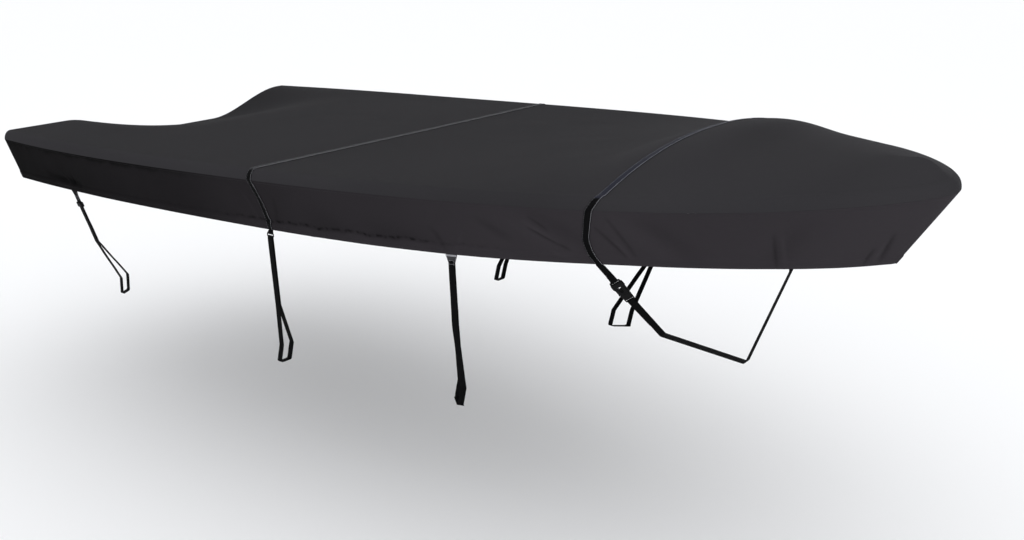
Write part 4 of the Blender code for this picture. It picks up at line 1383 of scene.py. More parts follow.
# ---------- cloth panels
@dataclass
class ClothPanels:
    """Top panel, side panels and transom panel, with the fine shape of their cloth."""

    shape: CoverShape
    wardrobe: Wardrobe
    cloth: float = 0.0014
    top_steps: int = 44
    roll_steps: int = 12
    side_lines: int = 760
    top_lines: int = 235
    transom_lines: int = 110
    upper_levels: int = 30
    level_power: float = 0.92
    # places down the start of the hem's fold and down its band, and the fold's height at each
    fold_levels: Tuple[float, ...] = (0.33, 0.66, 1.0)
    band_levels: Tuple[float, ...] = (0.15, 0.35, 0.55, 0.75, 0.9, 1.0)
    fold_heights: Tuple[float, ...] = (0.45, 0.9, 1.15, 1.2, 1.2, 1.15, 1.1, 0.95, 0.5)
    fold_thickness: float = 0.9
    corner_fade: float = 0.10
    stem_fade: float = 0.05
    seam_drop: float = 0.006
    # the rounded edge's overhang, towards the stern
    overhang: float = 0.0035
    overhang_depth: float = 0.16
    overhang_place: Change = Change(1.9, 1.2)
    overhang_least: float = 0.75
    overhang_wave: Wave = Wave(5, 0.31, 0.35)
    # the gathers above the hem: where most and some of them begin and end, and how deep they are
    most_gathered: Tuple[Change, Change] = (Change(1.35, 0.5), Change(2.62, 0.10))
    some_gathered: Tuple[Change, Change] = (Change(0.7, 0.5), Change(3.0, 0.3))
    some_share: float = 0.25
    gather_line: float = 0.80
    gather_wander: Wave = Wave(9, 0.22, 0.025)
    gather_depth: float = 0.055
    gather_height: float = 0.0030
    gather_sink: float = 0.9
    gather_slant: float = 0.08
    gather_ripples: Tuple[Wave, Wave] = (Wave(3, 0.085, 0.6), Wave(4, 0.046, 0.5, 2))
    # the hem's wave below them, and the skirt's long billows
    wave_line: float = 0.93
    wave_depth: float = 0.06
    wave_height: float = 0.0022
    hem_wave: Wave = Wave(6, 0.07, octaves=2)
    billow: Wave = Wave(8, 0.42, 0.0011)
    billow_slant: float = 0.12
    transom_wave: Wave = Wave(15, 0.3, 0.0012)
    transom_slant: float = 0.1
    # painted shade in the cloth's furrows, painted highlight on its ridges and both in the long folds, and
    # between what limits
    valley_tone: float = 95.0
    ridge_tone: float = 45.0
    fold_tone: float = 0.22
    tone_limits: Tuple[float, float] = (0.18, 1.5)
    # the painted shadow under the overhang
    edge_tone: float = 0.75
    edge_depth: float = 0.11
    edge_wave: Wave = Wave(31, 0.16, 0.05)
    edge_change: Tuple[float, float] = (0.4, 0.9)
    edge_place: Change = Change(1.75, 0.9)
    # the painted shade in the gathers' furrows, and the lighter band of the hem below them
    pinch_tone: float = 0.90
    pinch_depth: float = 0.020
    pinch_wander: Wave = Wave(34, 0.05, 0.012, 2)
    pinch_least: float = 0.45
    pinch_most: float = 1.1
    pinch_waves: Tuple[Wave, Wave] = (Wave(3, 0.085, 0.60), Wave(33, 0.031, 0.50, 2))
    worn_tone: float = 0.20
    worn_place: Change = Change(0.02, 0.05)
    # how much lighter the top is painted where it slopes, as painted light for the light that it lacks,
    # towards the stern and towards the bow
    slope_tones: Tuple[float, float] = (0.75, 0.38)
    slope_change: Tuple[float, float] = (1.6, 3.4)
    slope_start: float = 0.33
    # the top panel's slackness, away from its edge and its straps
    slack: float = 0.0016
    slack_waves: Tuple[Wave, Wave] = (Wave(21, 0.9), Wave(22, 0.8))
    slack_slants: Tuple[float, float] = (0.6, 0.3)
    slack_inside: float = 0.35
    slack_stern: Change = Change(0.0, 0.4)
    slack_bow: Change = Change(3.9, 0.5)
    strap_places: Tuple[float, float] = (1.80, 3.22)
    strap_calm: Change = Change(0.03, 0.12)
    # creases that the cloth takes beside straps, tabs and at the bow
    creases: Tuple[Crease, ...] = crease_rows(
        (2.965, 0.27, 3.075, 0.66, 0.012, 0.0034), (2.978, 0.39, 3.105, 0.76, 0.011, -0.0044),
        (2.985, 0.19, 3.040, 0.42, 0.009, -0.0028), (3.045, 0.80, 3.090, 0.88, 0.012, 0.0018),
        (2.80, 0.30, 2.90, 0.62, 0.030, -0.0016), (3.199, 0.32, 3.288, 0.84, 0.010, -0.0032),
        (3.255, 0.53, 3.302, 0.84, 0.010, 0.0030), (3.243, 0.16, 3.318, 0.82, 0.012, -0.0030),
        (3.712, 0.42, 3.738, 0.97, 0.011, -0.0030), (3.735, 0.45, 3.762, 0.97, 0.012, 0.0018),
        (3.974, 0.72, 3.970, 0.94, 0.011, -0.0034), (4.002, 0.50, 4.010, 0.92, 0.013, -0.0036),
        (3.990, 0.62, 3.990, 0.92, 0.011, 0.0022), (0.36, 0.70, 0.60, 0.80, 0.035, -0.0060),
        (0.40, 0.86, 0.58, 0.92, 0.026, 0.0050), (0.47, 0.60, 0.52, 0.86, 0.020, 0.0026),
        (0.55, 0.58, 0.54, 0.88, 0.018, -0.0026), (1.72, 0.20, 1.76, 0.90, 0.020, 0.0016),
        (1.88, 0.35, 1.84, 0.92, 0.020, -0.0016), (2.60, 0.55, 2.64, 0.90, 0.020, -0.0020),
        (2.72, 0.60, 2.68, 0.92, 0.018, 0.0018),
    )

    def fine_relief(self, forward: Array, share: Array) -> Array:
        # The top rows take the webbing with a painted blue sky reflection, the side rows plain black
        """Small folds of the skirt that the cloth alone has.

        Args:
            forward: Distances forward of the transom.
            share: How far down from the seam (0) to the hem (1).

        Returns:
            Outward relief.
        """
        relief = sum(crease.relief(forward, share) for crease in self.creases)
        # The rounded edge overhangs the skirt towards the stern
        hang = bell(share, self.overhang_depth) * self.overhang_place.fall(forward)
        relief = relief - self.overhang * hang * (self.overhang_least + self.overhang_wave.at(forward))
        # Cloth gathers above the hem, most of all between the middle and the third tie-down
        most, line = self.gathering(forward)
        band = bell(share - line, self.gather_depth)
        coarse, fine = self.gather_ripples
        ripple = coarse.at(forward) + fine.at(forward + share * self.gather_slant)
        relief = relief + self.gather_height * most * band * (ripple - self.gather_sink)
        below = bell(share - self.wave_line, self.wave_depth)
        relief = relief + self.wave_height * most * below * self.hem_wave.at(forward)
        return relief + self.billow.at(forward + share * self.billow_slant) * np.sin(math.pi * share)

    def skirt_tone(self, forward: Array, share: Array) -> Array:
        """Painted shade and light of the skirt: shade in its furrows, highlight on its ridges, shadow under
        the rounded edge, shade in the gathers and a lighter band at the hem.

        Args:
            forward: Distances forward of the transom.
            share: How far down from the seam (0) to the hem (1).

        Returns:
            A factor on its colour.
        """
        # Painted shade in the furrows and painted highlight on the ridges of the creases and long folds
        relief = sum(crease.relief(forward, share) for crease in self.creases)
        relief = relief + self.fold_tone * sum(fold.relief(forward, share) for fold in self.shape.folds)
        tone = 1 + self.valley_tone * np.minimum(relief, 0) + self.ridge_tone * np.maximum(relief, 0)
        # Painted shadow under the rounded edge, which overhangs the skirt
        edge = self.edge_depth + self.edge_wave.at(forward)
        start, length = self.edge_change
        hang = 1 - smoothstep((share - edge * start) / (edge * length))
        tone = tone - self.edge_tone * hang * self.edge_place.fall(forward)
        # Painted shade in the gathers' furrows above the hem, and a lighter band of the hem below them
        most, line = self.gathering(forward)
        coarse, fine = self.pinch_waves
        ripple = self.pinch_least + coarse.at(forward) + fine.at(forward)
        pinch = bell(share - line - self.pinch_wander.at(forward), self.pinch_depth)
        tone = tone - self.pinch_tone * most * pinch * np.clip(ripple, 0, self.pinch_most)
        tone = tone + self.worn_tone * most * self.worn_place.rise(share - line)
        return np.clip(tone, *self.tone_limits)

    def gathering(self, forward: Array) -> Tuple[Array, Array]:
        """How much the cloth gathers above the hem, and where.

        Args:
            forward: Distances forward of the transom.

        Returns:
            How much, from 0 to 1, and the share of the skirt's depth.
        """
        (most_from, most_to), (some_from, some_to) = self.most_gathered, self.some_gathered
        most = most_from.rise(forward) * most_to.fall(forward)
        some = self.some_share * some_from.rise(forward) * some_to.fall(forward)
        return np.maximum(most, some), self.gather_line + self.gather_wander.at(forward)

    def skirt_surface(self, runs: Array, side: Side) -> Tuple[Array, Array, Array, Array]:
        """Grid of the skirt.

        Args:
            runs: Distances along the outline, one for each grid line.
            side: The side of the boat.

        Returns:
            Outer points, facings, thickness at each, and the share of the depth at each.
        """
        start, full = self.shape.band_shares(runs, side)
        upper = np.linspace(0, 1, self.upper_levels) ** self.level_power
        shares = np.concatenate([
            start[:, None] * upper,
            start[:, None] + (full - start)[:, None] * np.array(self.fold_levels),
            full[:, None] + (1 - full)[:, None] * np.array(self.band_levels),
        ], 1)
        fold = np.concatenate([np.zeros(self.upper_levels), self.fold_heights])
        run_grid = np.repeat(runs[:, None], shares.shape[1], 1)
        points, facings = self.shape.skirt_points(run_grid, shares, side)
        forward = self.shape.plan(self.shape.bent(run_grid, 1 + shares)).x
        on_side = run_grid > self.shape.side_start
        near_corner = smoothstep((run_grid - self.shape.side_start) / self.corner_fade)
        stem = smoothstep((self.shape.end - run_grid) / self.stem_fade)
        relief = np.where(on_side, self.fine_relief(forward, shares) * near_corner * stem, 0.0)
        relief = relief + self.shape.hem_fold * fold[None, :]
        thickness = self.cloth + self.shape.hem_fold * fold[None, :] * self.fold_thickness
        return points + facings * relief[..., None], facings, thickness + 0 * relief, shares

    def cut_places(self, points: Array) -> Array:
        """Places on the flat cut, from lengths along the grid's lines.

        Args:
            points: The grid's points.

        Returns:
            Two lengths for each point.
        """
        across = np.linalg.norm(np.diff(points, axis=1), axis=2)
        down = np.concatenate([np.zeros((len(points), 1)), np.cumsum(across, 1)], 1)
        along = lengths_along(points[:, points.shape[1] // 2])
        return np.stack([np.repeat(along[:, None], points.shape[1], 1), down], -1)

    def sheet(self, weaver: Weaver, outer: Array, inner: Array, uvs: Array) -> None:
        """Adds both faces of a sheet and the walls round it.

        Args:
            weaver: What they are added to.
            outer: Grid of its outer face.
            inner: Grid of its inner face.
            uvs: The place of each point on the flat cut.
        """
        rows, columns = outer.shape[:2]
        a = weaver.grid(outer, uvs)
        b = weaver.grid(inner, uvs, flip=True)
        for k in range(rows - 1):
            for j in (0, columns - 1):
                here, there = k * columns + j, (k + 1) * columns + j
                weaver.face(a + here, a + there, b + there, b + here)
        for j in range(columns - 1):
            for k in (0, rows - 1):
                here = k * columns + j
                weaver.face(a + here, a + here + 1, b + here + 1, b + here)

    def build_top(self) -> Piece:
        """Builds the top panel.

        Returns:
            The piece.
        """
        shape = self.shape
        transom = np.linspace(0, shape.transom_run, self.transom_lines // 2)
        corner = np.linspace(shape.transom_run, shape.side_start, 14)[1:]
        sides = np.linspace(shape.side_start, shape.end, self.top_lines)[1:]
        runs = np.concatenate([transom, corner, sides])
        weaver = Weaver()
        for side in Side:
            points, facings = shape.top_grid(runs, side, self.top_steps, self.roll_steps)
            swell = self.top_relief(points, side)
            points[..., 2] += swell
            points[[0, -1], :, 1] = 0.0
            inner = points - facings * self.cloth
            inner[[0, -1], :, 1] = 0.0
            outer, inner = shape.place(points, side), shape.place(inner, side)
            uvs = np.stack([outer[..., 0], outer[..., 1]], -1)
            rows, columns = outer.shape[:2]
            a = weaver.grid(outer, uvs, flip=side is Side.PORT)
            # Painted light: the sloping rounded edge is made lighter to make up for the light that falls less
            # on it
            aft, fore = self.slope_tones
            slope_light = aft + (fore - aft) * ramp(self.slope_change, points[..., 0])
            weaver.tones[a] = 1 + slope_light * (1 - np.exp(-self.lean(points) / self.slope_start))
            b = weaver.grid(inner, uvs, flip=side is Side.STARBOARD)
            for k in range(rows - 1):
                here, there = (k + 1) * columns - 1, (k + 2) * columns - 1
                weaver.face(a + here, a + there, b + there, b + here)
        made = weaver.piece("top_cloth", [self.wardrobe.top], Slot.CLOTH, replaces=["top_panel"])
        return made

    def lean(self, points: Array) -> Array:
        """How far each place of a grid faces towards the boat's side.

        Args:
            points: The grid's points.

        Returns:
            0 where it faces up, 1 where it faces aside.
        """
        facing = np.cross(np.gradient(points, axis=0), np.gradient(points, axis=1))
        facing = facing / (np.linalg.norm(facing, axis=-1, keepdims=True) + 1e-12)
        return np.maximum(facing[..., 1] * np.sign(facing[..., 2]), 0)

    def top_relief(self, points: Array, side: Side) -> Array:
        """Faint slackness of the top panel away from its edge and straps.

        Args:
            points: The panel's points.
            side: The side of the boat.

        Returns:
            How far each point is raised.
        """
        x, y = points[..., 0], points[..., 1] * side.value
        inside = smoothstep((self.shape.half_beam - points[..., 1]) / self.slack_inside)
        inside = inside * self.slack_bow.fall(x) * self.slack_stern.rise(x)
        away = np.ones_like(x)
        for strap in self.strap_places:
            away = away * self.strap_calm.rise(np.abs(x - strap))
        (one, other), (along, across) = self.slack_waves, self.slack_slants
        drift = one.at(x + y * along) * other.at(y - x * across)
        return self.slack * drift * inside * away

    def build_sides(self) -> List[Piece]:
        """Builds both side panels.

        Returns:
            The pieces.
        """
        shape = self.shape
        corner = np.linspace(shape.corner_seam + shape.fit_gap / 2, shape.side_start, 8)[:-1]
        runs = np.concatenate([corner, np.linspace(shape.side_start + 1e-5, shape.end, self.side_lines)])
        made = []
        for side in Side:
            points, facings, thickness, shares = self.skirt_surface(runs, side)
            inner = points - facings * thickness[..., None]
            points[..., 1] = np.maximum(points[..., 1], shape.fit_gap / 2)
            inner[..., 1] = np.maximum(inner[..., 1], shape.fit_gap / 2)
            weaver = Weaver()
            uvs = self.cut_places(points)
            self.sheet(weaver, shape.place(points, side), shape.place(inner, side), uvs)
            forward = shape.plan(shape.bent(np.repeat(runs[:, None], shares.shape[1], 1), 1 + shares)).x
            weaver.tones[0] = self.skirt_tone(forward, shares)
            name, solid = f"side_cloth_{side.label}", f"side_panel_{side.label}"
            piece = weaver.piece(name, [self.wardrobe.skirt], Slot.CLOTH, replaces=[solid])
            made.append(piece)
        return made

    def build_transom(self) -> Piece:
        """Builds the transom panel.

        Returns:
            The piece.
        """
        shape = self.shape
        end = shape.corner_seam - shape.fit_gap / 2
        half = np.concatenate([
            np.linspace(0, shape.transom_run, self.transom_lines // 2),
            np.linspace(shape.transom_run, end, 8)[1:],
        ])
        halves = []
        for side, order in ((Side.STARBOARD, half[:0:-1]), (Side.PORT, half)):
            points, facings, thickness, _ = self.skirt_surface(order, side)
            y = points[..., 1] * side.value
            share = np.linspace(0, 1, points.shape[1])
            relief = self.transom_wave.at(y + share * self.transom_slant) * np.sin(math.pi * share)
            points = points + facings * relief[..., None]
            inner = points - facings * thickness[..., None]
            halves.append((shape.place(points, side), shape.place(inner, side)))
        outer = np.concatenate([halves[0][0], halves[1][0]])
        inner = np.concatenate([halves[0][1], halves[1][1]])
        weaver = Weaver()
        self.sheet(weaver, outer, inner, self.cut_places(outer))
        weaver.tones[0] = np.ones(outer.shape[:2])
        made = weaver.piece("transom_cloth", [self.wardrobe.transom], Slot.CLOTH, replaces=["transom_panel"])
        return made

    def build_stitching(self) -> Piece:
        """Sews the seam below the rounded edge and the hem's upper edge.

        Returns:
            The piece.
        """
        shape = self.shape
        weaver = Weaver()
        row = Stitching(length=0.0045, pitch=0.0065, width=0.0010, height=0.0005)
        runs = np.linspace(shape.corner_seam, shape.end, 900)
        keep = slice(2, -2)
        for side in Side:
            points, facings, _, _ = self.skirt_surface(runs, side)
            middle = points[len(points) // 2, :, 2]
            below_seam = int(np.argmin(np.abs(middle[0] - middle - self.seam_drop)))
            for column in (below_seam, self.upper_levels + 4):
                row.sew(weaver, points[keep, column], facings[keep, column], shape.placing(side))
        return weaver.piece("seam_stitching", [self.wardrobe.grey], Slot.WEBBING)

    def build(self) -> List[Piece]:
        """Builds every cloth piece."""
        return [self.build_top(), *self.build_sides(), self.build_transom(), self.build_stitching()]


# ---------- straps and their loops
@dataclass(frozen=True)
class Loop:
    """Sizes of a webbing loop on a bar."""

    ARC_STEPS = 14
    TAIL_STEPS = 8

    bar: float = 0.002
    clearance: float = 0.0006
    tail: float = 0.030
    lap_gap: float = 0.0003
    settle: float = 0.012

    def turn(
        self, start: Array, end: Array, outward: Array, web: float, length: Optional[float] = None
    ) -> Tuple[List[Array], Array]:
        """Webbing from start to end, round a bar there and back up, lying on its own outer face.

        Args:
            start: Where it comes from.
            end: Its lowest point, on the inner face.
            outward: The way that the tail lies off the strap.
            web: Thickness of the webbing.
            length: Length of its tail, if not the usual one.

        Returns:
            The path of its inner face and the centre of the bar.
        """
        direction = unit(end - start)
        outward = unit(outward - direction * (outward @ direction))
        across = 2 * (web + self.bar + self.clearance)
        bar = end + outward * across / 2 - direction * across / 2
        turns = [math.pi * k / self.ARC_STEPS for k in range(self.ARC_STEPS + 1)]
        arc = [bar + (direction * math.sin(t) - outward * math.cos(t)) * across / 2 for t in turns]
        rest = 2 * web + self.lap_gap
        reach = (self.tail if length is None else length) - across / 2
        tail = []
        for k in range(1, self.TAIL_STEPS + 1):
            up = reach * k / self.TAIL_STEPS
            off = across + (rest - across) * float(smoothstep(up / self.settle))
            tail.append(arc[0] + outward * off - direction * up)
        return arc + tail, bar


@dataclass
class CoverStraps:
    """The two straps sewn over the cover, with their stitching."""

    shape: CoverShape
    panels: ClothPanels
    wardrobe: Wardrobe
    profile: WebbingProfile = field(default_factory=WebbingProfile)
    loop: Loop = Loop()
    mid_x: float = 1.80
    margin: float = 0.002
    lift: float = 0.0005
    mid_ring_drop: float = 0.016
    mid_ring_tail: float = 0.014
    edge_inset: float = 0.0022
    top_lines: int = 44
    flat_facing: float = 0.8
    long_stitch: Stitching = Stitching(length=0.0075, pitch=0.0082, width=0.0009, height=0.0005)
    short_stitch: Stitching = Stitching(length=0.0042, pitch=0.0095, width=0.0007, height=0.0004)
    bar_tack: Stitching = Stitching(length=0.0040, pitch=0.0052, width=0.0010, height=0.0005)
    tack_ends: Tuple[float, float] = (0.10, 0.90)

    def on_cover(self, forward: float) -> List[Row]:
        """Rows of a strap on the port half of the cover.

        Args:
            forward: How far forward of the transom it lies.

        Returns:
            The rows, from the centreline to the hem.
        """
        half = self.profile.width / 2 + self.margin
        runs = self.shape.run_at(np.array([forward - half, forward + half]))
        top, top_facings = self.shape.top_grid(runs, Side.PORT, self.top_lines, self.panels.roll_steps)
        skirt, skirt_facings, _, _ = self.panels.skirt_surface(runs, Side.PORT)
        lines = np.concatenate([top, skirt[:, 1:]], 1)
        facings = np.concatenate([top_facings, skirt_facings[:, 1:]], 1)
        inset = self.margin / (2 * half)
        rows = []
        for (aft, fore), turned in zip(lines.transpose(1, 0, 2), facings.transpose(1, 0, 2)):
            facing = unit(turned[0] + turned[1])
            left = aft + (fore - aft) * inset + facing * self.lift
            right = fore + (aft - fore) * inset + facing * self.lift
            rows.append((left, right, facing))
        return rows

    def finishes(self, rows: Sequence[Row]) -> List[int]:
        """The finish of each row: a painted sheen where it lies on top, black on the sides."""
        return [0 if row[2][2] > self.flat_facing else 1 for row in rows]

    def mid_rows(self) -> Tuple[List[Row], Array, Array, List[Row]]:
        """Rows of the middle strap's port half with its loop.

        Returns:
            The rows, the loop's bar, the way outward, and the rows on the cover alone.
        """
        rows = self.on_cover(self.mid_x)
        start, outward = row_centre(rows[-1]), rows[-1][2]
        end = start + DOWN * self.mid_ring_drop
        path, bar = self.loop.turn(start, end, outward, self.profile.thickness, self.mid_ring_tail)
        drop = denser([start, path[0]], 0.004)
        looped = rows + ribbon_rows(drop[:-1] + path, FORWARD, self.profile.width)[1:]
        return looped, bar, outward, rows

    def build_mid(self) -> Tuple[Array, Array]:
        """Builds the middle strap and its stitching.

        Returns:
            The bar of its port loop, and the way outward there.
        """
        looped, bar, outward, rows = self.mid_rows()
        weaver = Weaver()
        whole = mirrored(looped) + looped[1:]
        self.profile.weave(weaver, whole, self.shape.placing(Side.PORT), finish=self.finishes(whole))
        # The top rows take the webbing with a painted sheen, the side rows plain black
        finishes = [self.wardrobe.sewn, self.wardrobe.webbing]
        weaver.piece("mid_strap", finishes, Slot.WEBBING, replaces=["mid_over_strap"])
        self.sew_cover_strap(rows, looped, "mid_strap_stitching", 0.85)
        return bar, outward

    def sew_cover_strap(self, rows: Sequence[Row], looped: Sequence[Row], name: str, fade: float) -> None:
        """Sews a strap to the cover and its loop to itself.

        Args:
            rows: The port half's rows on the cover.
            looped: Its rows with the loop.
            name: Name of the piece.
            fade: Share of the aft stitches' usual length on the sides.
        """
        seams = WebbingSeams(self.shape.placing(Side.PORT), self.profile.thickness)
        whole = mirrored(rows) + rows[1:]
        seams.along(self.long_stitch, whole, True, self.edge_inset)
        aft = replace(self.short_stitch, length=self.short_stitch.length * fade)
        seams.along(aft, whole, False, self.edge_inset)
        tail = looped[-7:]
        for half in (tail, mirrored(tail)):
            for row in half[1:6:2]:
                seams.across(self.bar_tack, row, self.tack_ends)
        seams.piece(name, self.wardrobe.white, Slot.WEBBING)


# ---------- tie-downs
@dataclass(frozen=True)
class TieRoute:
    """Where a tie-down leaves the hem, lies on the hull and goes round the rail."""

    hem_x: float
    rail_x: float
    rail_out: float
    skew: float
    chine_out: float
    chine_z: float

    RAIL_WIDTH = 0.050
    RAIL_TOP = -0.772
    RAIL_BOTTOM = -0.848
    LAYER_SPREAD = 0.0045

    def corners(self, start_out: Array, start_in: Array) -> List[Array]:
        """Inner face of the tie-down round the rail.

        Args:
            start_out: Where its outer layer starts.
            start_in: Where its inner layer ends.

        Returns:
            The route's corners, from the outer start to the inner end.
        """
        outer, inner = self.rail_out, self.rail_out - self.RAIL_WIDTH
        fall = start_out[2] - self.RAIL_BOTTOM
        at_chine, at_top, at_bottom = (
            start_out[0] + (self.rail_x - start_out[0]) * ((start_out[2] - level) / fall)
            for level in (self.chine_z, self.RAIL_TOP, self.RAIL_BOTTOM)
        )
        places = [
            (at_chine, self.chine_out + self.LAYER_SPREAD, self.chine_z),
            (at_top, outer, self.RAIL_TOP),
            (at_bottom, outer, self.RAIL_BOTTOM),
            (at_bottom - self.skew, inner, self.RAIL_BOTTOM),
            (at_top - self.skew, inner, self.RAIL_TOP),
            (at_chine, self.chine_out, self.chine_z),
        ]
        return [start_out, *[np.array(p) for p in places], start_in]


@dataclass
class TieDowns:
    """The tabs, tie-downs, rings and slides at the hem."""

    shape: CoverShape
    panels: ClothPanels
    straps: CoverStraps
    wardrobe: Wardrobe
    profile: WebbingProfile = field(default_factory=WebbingProfile)
    hem_samples: float = 0.025
    routes: Dict[Station, TieRoute] = field(default_factory=lambda: {
        Station.AFT: TieRoute(0.52, 0.516, 0.620, 0.026, 0.728, -0.569),
        Station.MID: TieRoute(1.80, 1.70, 0.700, 0.0, 0.744, -0.576),
        Station.THIRD: TieRoute(2.655, 2.53, 0.550, 0.060, 0.659, -0.485),
    })
    rail_corner: float = 0.006
    tab_length: float = 0.062
    tab_tuck: float = 0.020
    tab_shoulder: float = 0.004
    tab_width: float = 0.046
    tab_lap: float = 0.016
    tab_lift: float = 0.0008
    ring_height: float = 0.017
    tacked: Tuple[int, ...] = (6, 7)
    ring_corner: float = 0.0035
    ring_side_gap: float = 0.0015
    ring_lead: float = 0.012
    slide_length: float = 0.022
    slide_wall: float = 0.0030
    slide_gap: float = 0.0006
    slide_drop: float = 0.045
    slide_edge: float = 0.0009
    slide_corners: Tuple[float, float] = (0.0022, 0.0008)
    slack: Wave = Wave(31, 0.22, 0.0007)
    slack_ends: float = 0.08
    tie_step: float = 0.008
    tab_step: float = 0.004
    bar_sides: int = 16
    corner_steps: int = 8
    edge_stitch: Stitching = Stitching(length=0.0034, pitch=0.0052, width=0.0011, height=0.0005)
    edge_insets: Tuple[float, float] = (0.0025, 0.0030)
    dense_stitch: Stitching = Stitching(length=0.0042, pitch=0.0043, width=0.0030, height=0.0006)
    loop_stitch: Stitching = Stitching(length=0.0036, pitch=0.0050, width=0.0010, height=0.0005)
    loop_drops: Tuple[float, ...] = (0.020, 0.026, 0.032, 0.038)
    outer_facing: float = 0.5

    def hem_frame(self, forward: float) -> Tuple[Array, Array, Array, Array]:
        """Inner face of the hem at a tab, and the directions there.

        Args:
            forward: How far forward of the transom the tab is.

        Returns:
            The place, and the ways down the skirt, along it and outwards.
        """
        half = self.hem_samples
        runs = self.shape.run_at(np.array([forward - half, forward + half]))
        points, facings, thickness, _ = self.panels.skirt_surface(runs, Side.PORT)
        inner = points[:, -1] - facings[:, -1] * thickness[:, -1, None]
        fall = points[:, -1] - points[:, -7]
        along = unit(inner[1] - inner[0])
        outward = unit(np.cross(along, unit(fall[0] + fall[1])))
        return (inner[0] + inner[1]) / 2, unit(np.cross(outward, along)), along, outward

    def wavy(self, path: List[Array], outward: Array) -> List[Array]:
        """The path with the slight slackness that webbing has between its ends.

        Args:
            path: Its points.
            outward: The way that it sways.

        Returns:
            The points of the slack path.
        """
        along = lengths_along(np.array(path))
        ends = smoothstep(along / self.slack_ends) * smoothstep((along[-1] - along) / self.slack_ends)
        return [p + outward * d for p, d in zip(path, self.slack.at(along) * ends)]

    def weave_side(
        self, names: Tuple[str, str], rows: List[Row], finish: Finish, slot: Slot, side: Side,
        closed: bool = False,
    ) -> None:
        """Weaves a piece of webbing on one side.

        Args:
            names: Its name and its solid's, without the side.
            rows: Its rows.
            finish: Its finish.
            slot: Passed on to the piece, where it is not used.
            side: The side of the boat.
            closed: Whether it is a loop.
        """
        weaver = Weaver()
        self.profile.weave(weaver, rows, self.shape.placing(side), closed=closed)
        name, solid = (f"{part}_{side.label}" for part in names)
        weaver.piece(name, [finish], slot, replaces=[solid])

    def build_tabbed(self, station: Station) -> List[Array]:
        """Builds the tabs and tie-downs of a station on both sides.

        Args:
            station: The station.

        Returns:
            The corners of the port tie-down's route.
        """
        route = self.routes[station]
        web = self.profile.thickness
        hem, down, along, outward = self.hem_frame(route.hem_x)
        behind = hem - outward * (web + self.tab_lift)
        waist = behind + down * self.tab_shoulder
        share = (waist[2] - route.chine_z) / (waist[2] - route.RAIL_BOTTOM)
        straight_x = waist[0] + (route.rail_x - waist[0]) * share
        run = unit(np.array([straight_x, route.chine_out, route.chine_z]) - waist)
        end = waist + run * (self.tab_length - self.tab_tuck - self.tab_shoulder)
        lap = end - run * self.tab_lap
        lift = unit(np.cross(along, run))
        corners = route.corners(lap + lift * (web + self.shape.fit_gap), lap - lift * self.shape.fit_gap)
        path = denser(rounded_path(corners, self.rail_corner), self.tie_step)
        tab_path = denser([behind - down * self.tab_tuck, behind, waist, end], self.tab_step)
        narrow = self.profile.width
        widths = []
        for point in tab_path:
            share = float((point - waist) @ run) / float((end - waist) @ run)
            widths.append(self.tab_width + (narrow - self.tab_width) * min(max(share, 0.0), 1.0))
        tab = ribbon_rows(tab_path, along, widths)
        tie = ribbon_rows(self.wavy(path, lift), along, narrow)
        black = self.wardrobe.webbing
        pale = station is Station.THIRD
        finish, tacked = (self.wardrobe.tab, self.tacked) if pale else (black, ())
        pair = station.value
        for side in Side:
            self.weave_side((f"{pair}_tab_cloth", f"{pair}_tab"), tab, finish, Slot.TAB, side)
            self.weave_side((f"{pair}_webbing", f"{pair}_tie"), tie, black, Slot.WEBBING, side)
            self.sew_tab(f"{pair}_tab_stitching_{side.label}", tab, tie, side, tacked)
        return corners

    def sew_tab(
        self, name: str, tab: List[Row], tie: List[Row], side: Side, tacked: Sequence[int]
    ) -> None:
        """Sews a tab's edges and the box that holds the tie-down to it.

        Args:
            name: Name of the piece.
            tab: The tab's rows.
            tie: The tie-down's rows.
            side: The side of the boat.
            tacked: Rows below the hem that a dense tack crosses.
        """
        seams = WebbingSeams(self.shape.placing(side), self.profile.thickness)
        for forward_edge in (False, True):
            for rows, inset in zip((tab[6:], tie[:4]), self.edge_insets):
                seams.along(self.edge_stitch, rows, forward_edge, inset)
        for row in (tie[0], tie[2]):
            seams.across(self.edge_stitch, row)
        for k in tacked:
            seams.across(self.dense_stitch, tab[k], (0.0, 1.0))
        seams.piece(name, self.wardrobe.white, Slot.TAB)

    def round_bar(
        self, weaver: Weaver, path: List[Array], normal: Array, radius: float, place: Placing
    ) -> None:
        """Adds a closed bar of round section.

        Args:
            weaver: What it is added to.
            path: Its centre line.
            normal: A direction across the loop's plane.
            radius: Radius of the bar.
            place: Moves points to the object's frame.
        """
        size = self.bar_sides
        turns = np.linspace(0, 2 * math.pi, size, endpoint=False)
        first = None
        for k, point in enumerate(path):
            tangent = unit(path[(k + 1) % len(path)] - path[k - 1])
            away = unit(np.cross(tangent, normal))
            ring = point + (np.outer(np.cos(turns), away) + np.outer(np.sin(turns), normal)) * radius
            start = weaver.add(place(ring), np.zeros((size, 2)))
            first = start if first is None else first
        for k in range(len(path)):
            here, there = first + k * size, first + (k + 1) % len(path) * size
            for j in range(size):
                weaver.face(here + j, here + (j + 1) % size, there + (j + 1) % size, there + j)

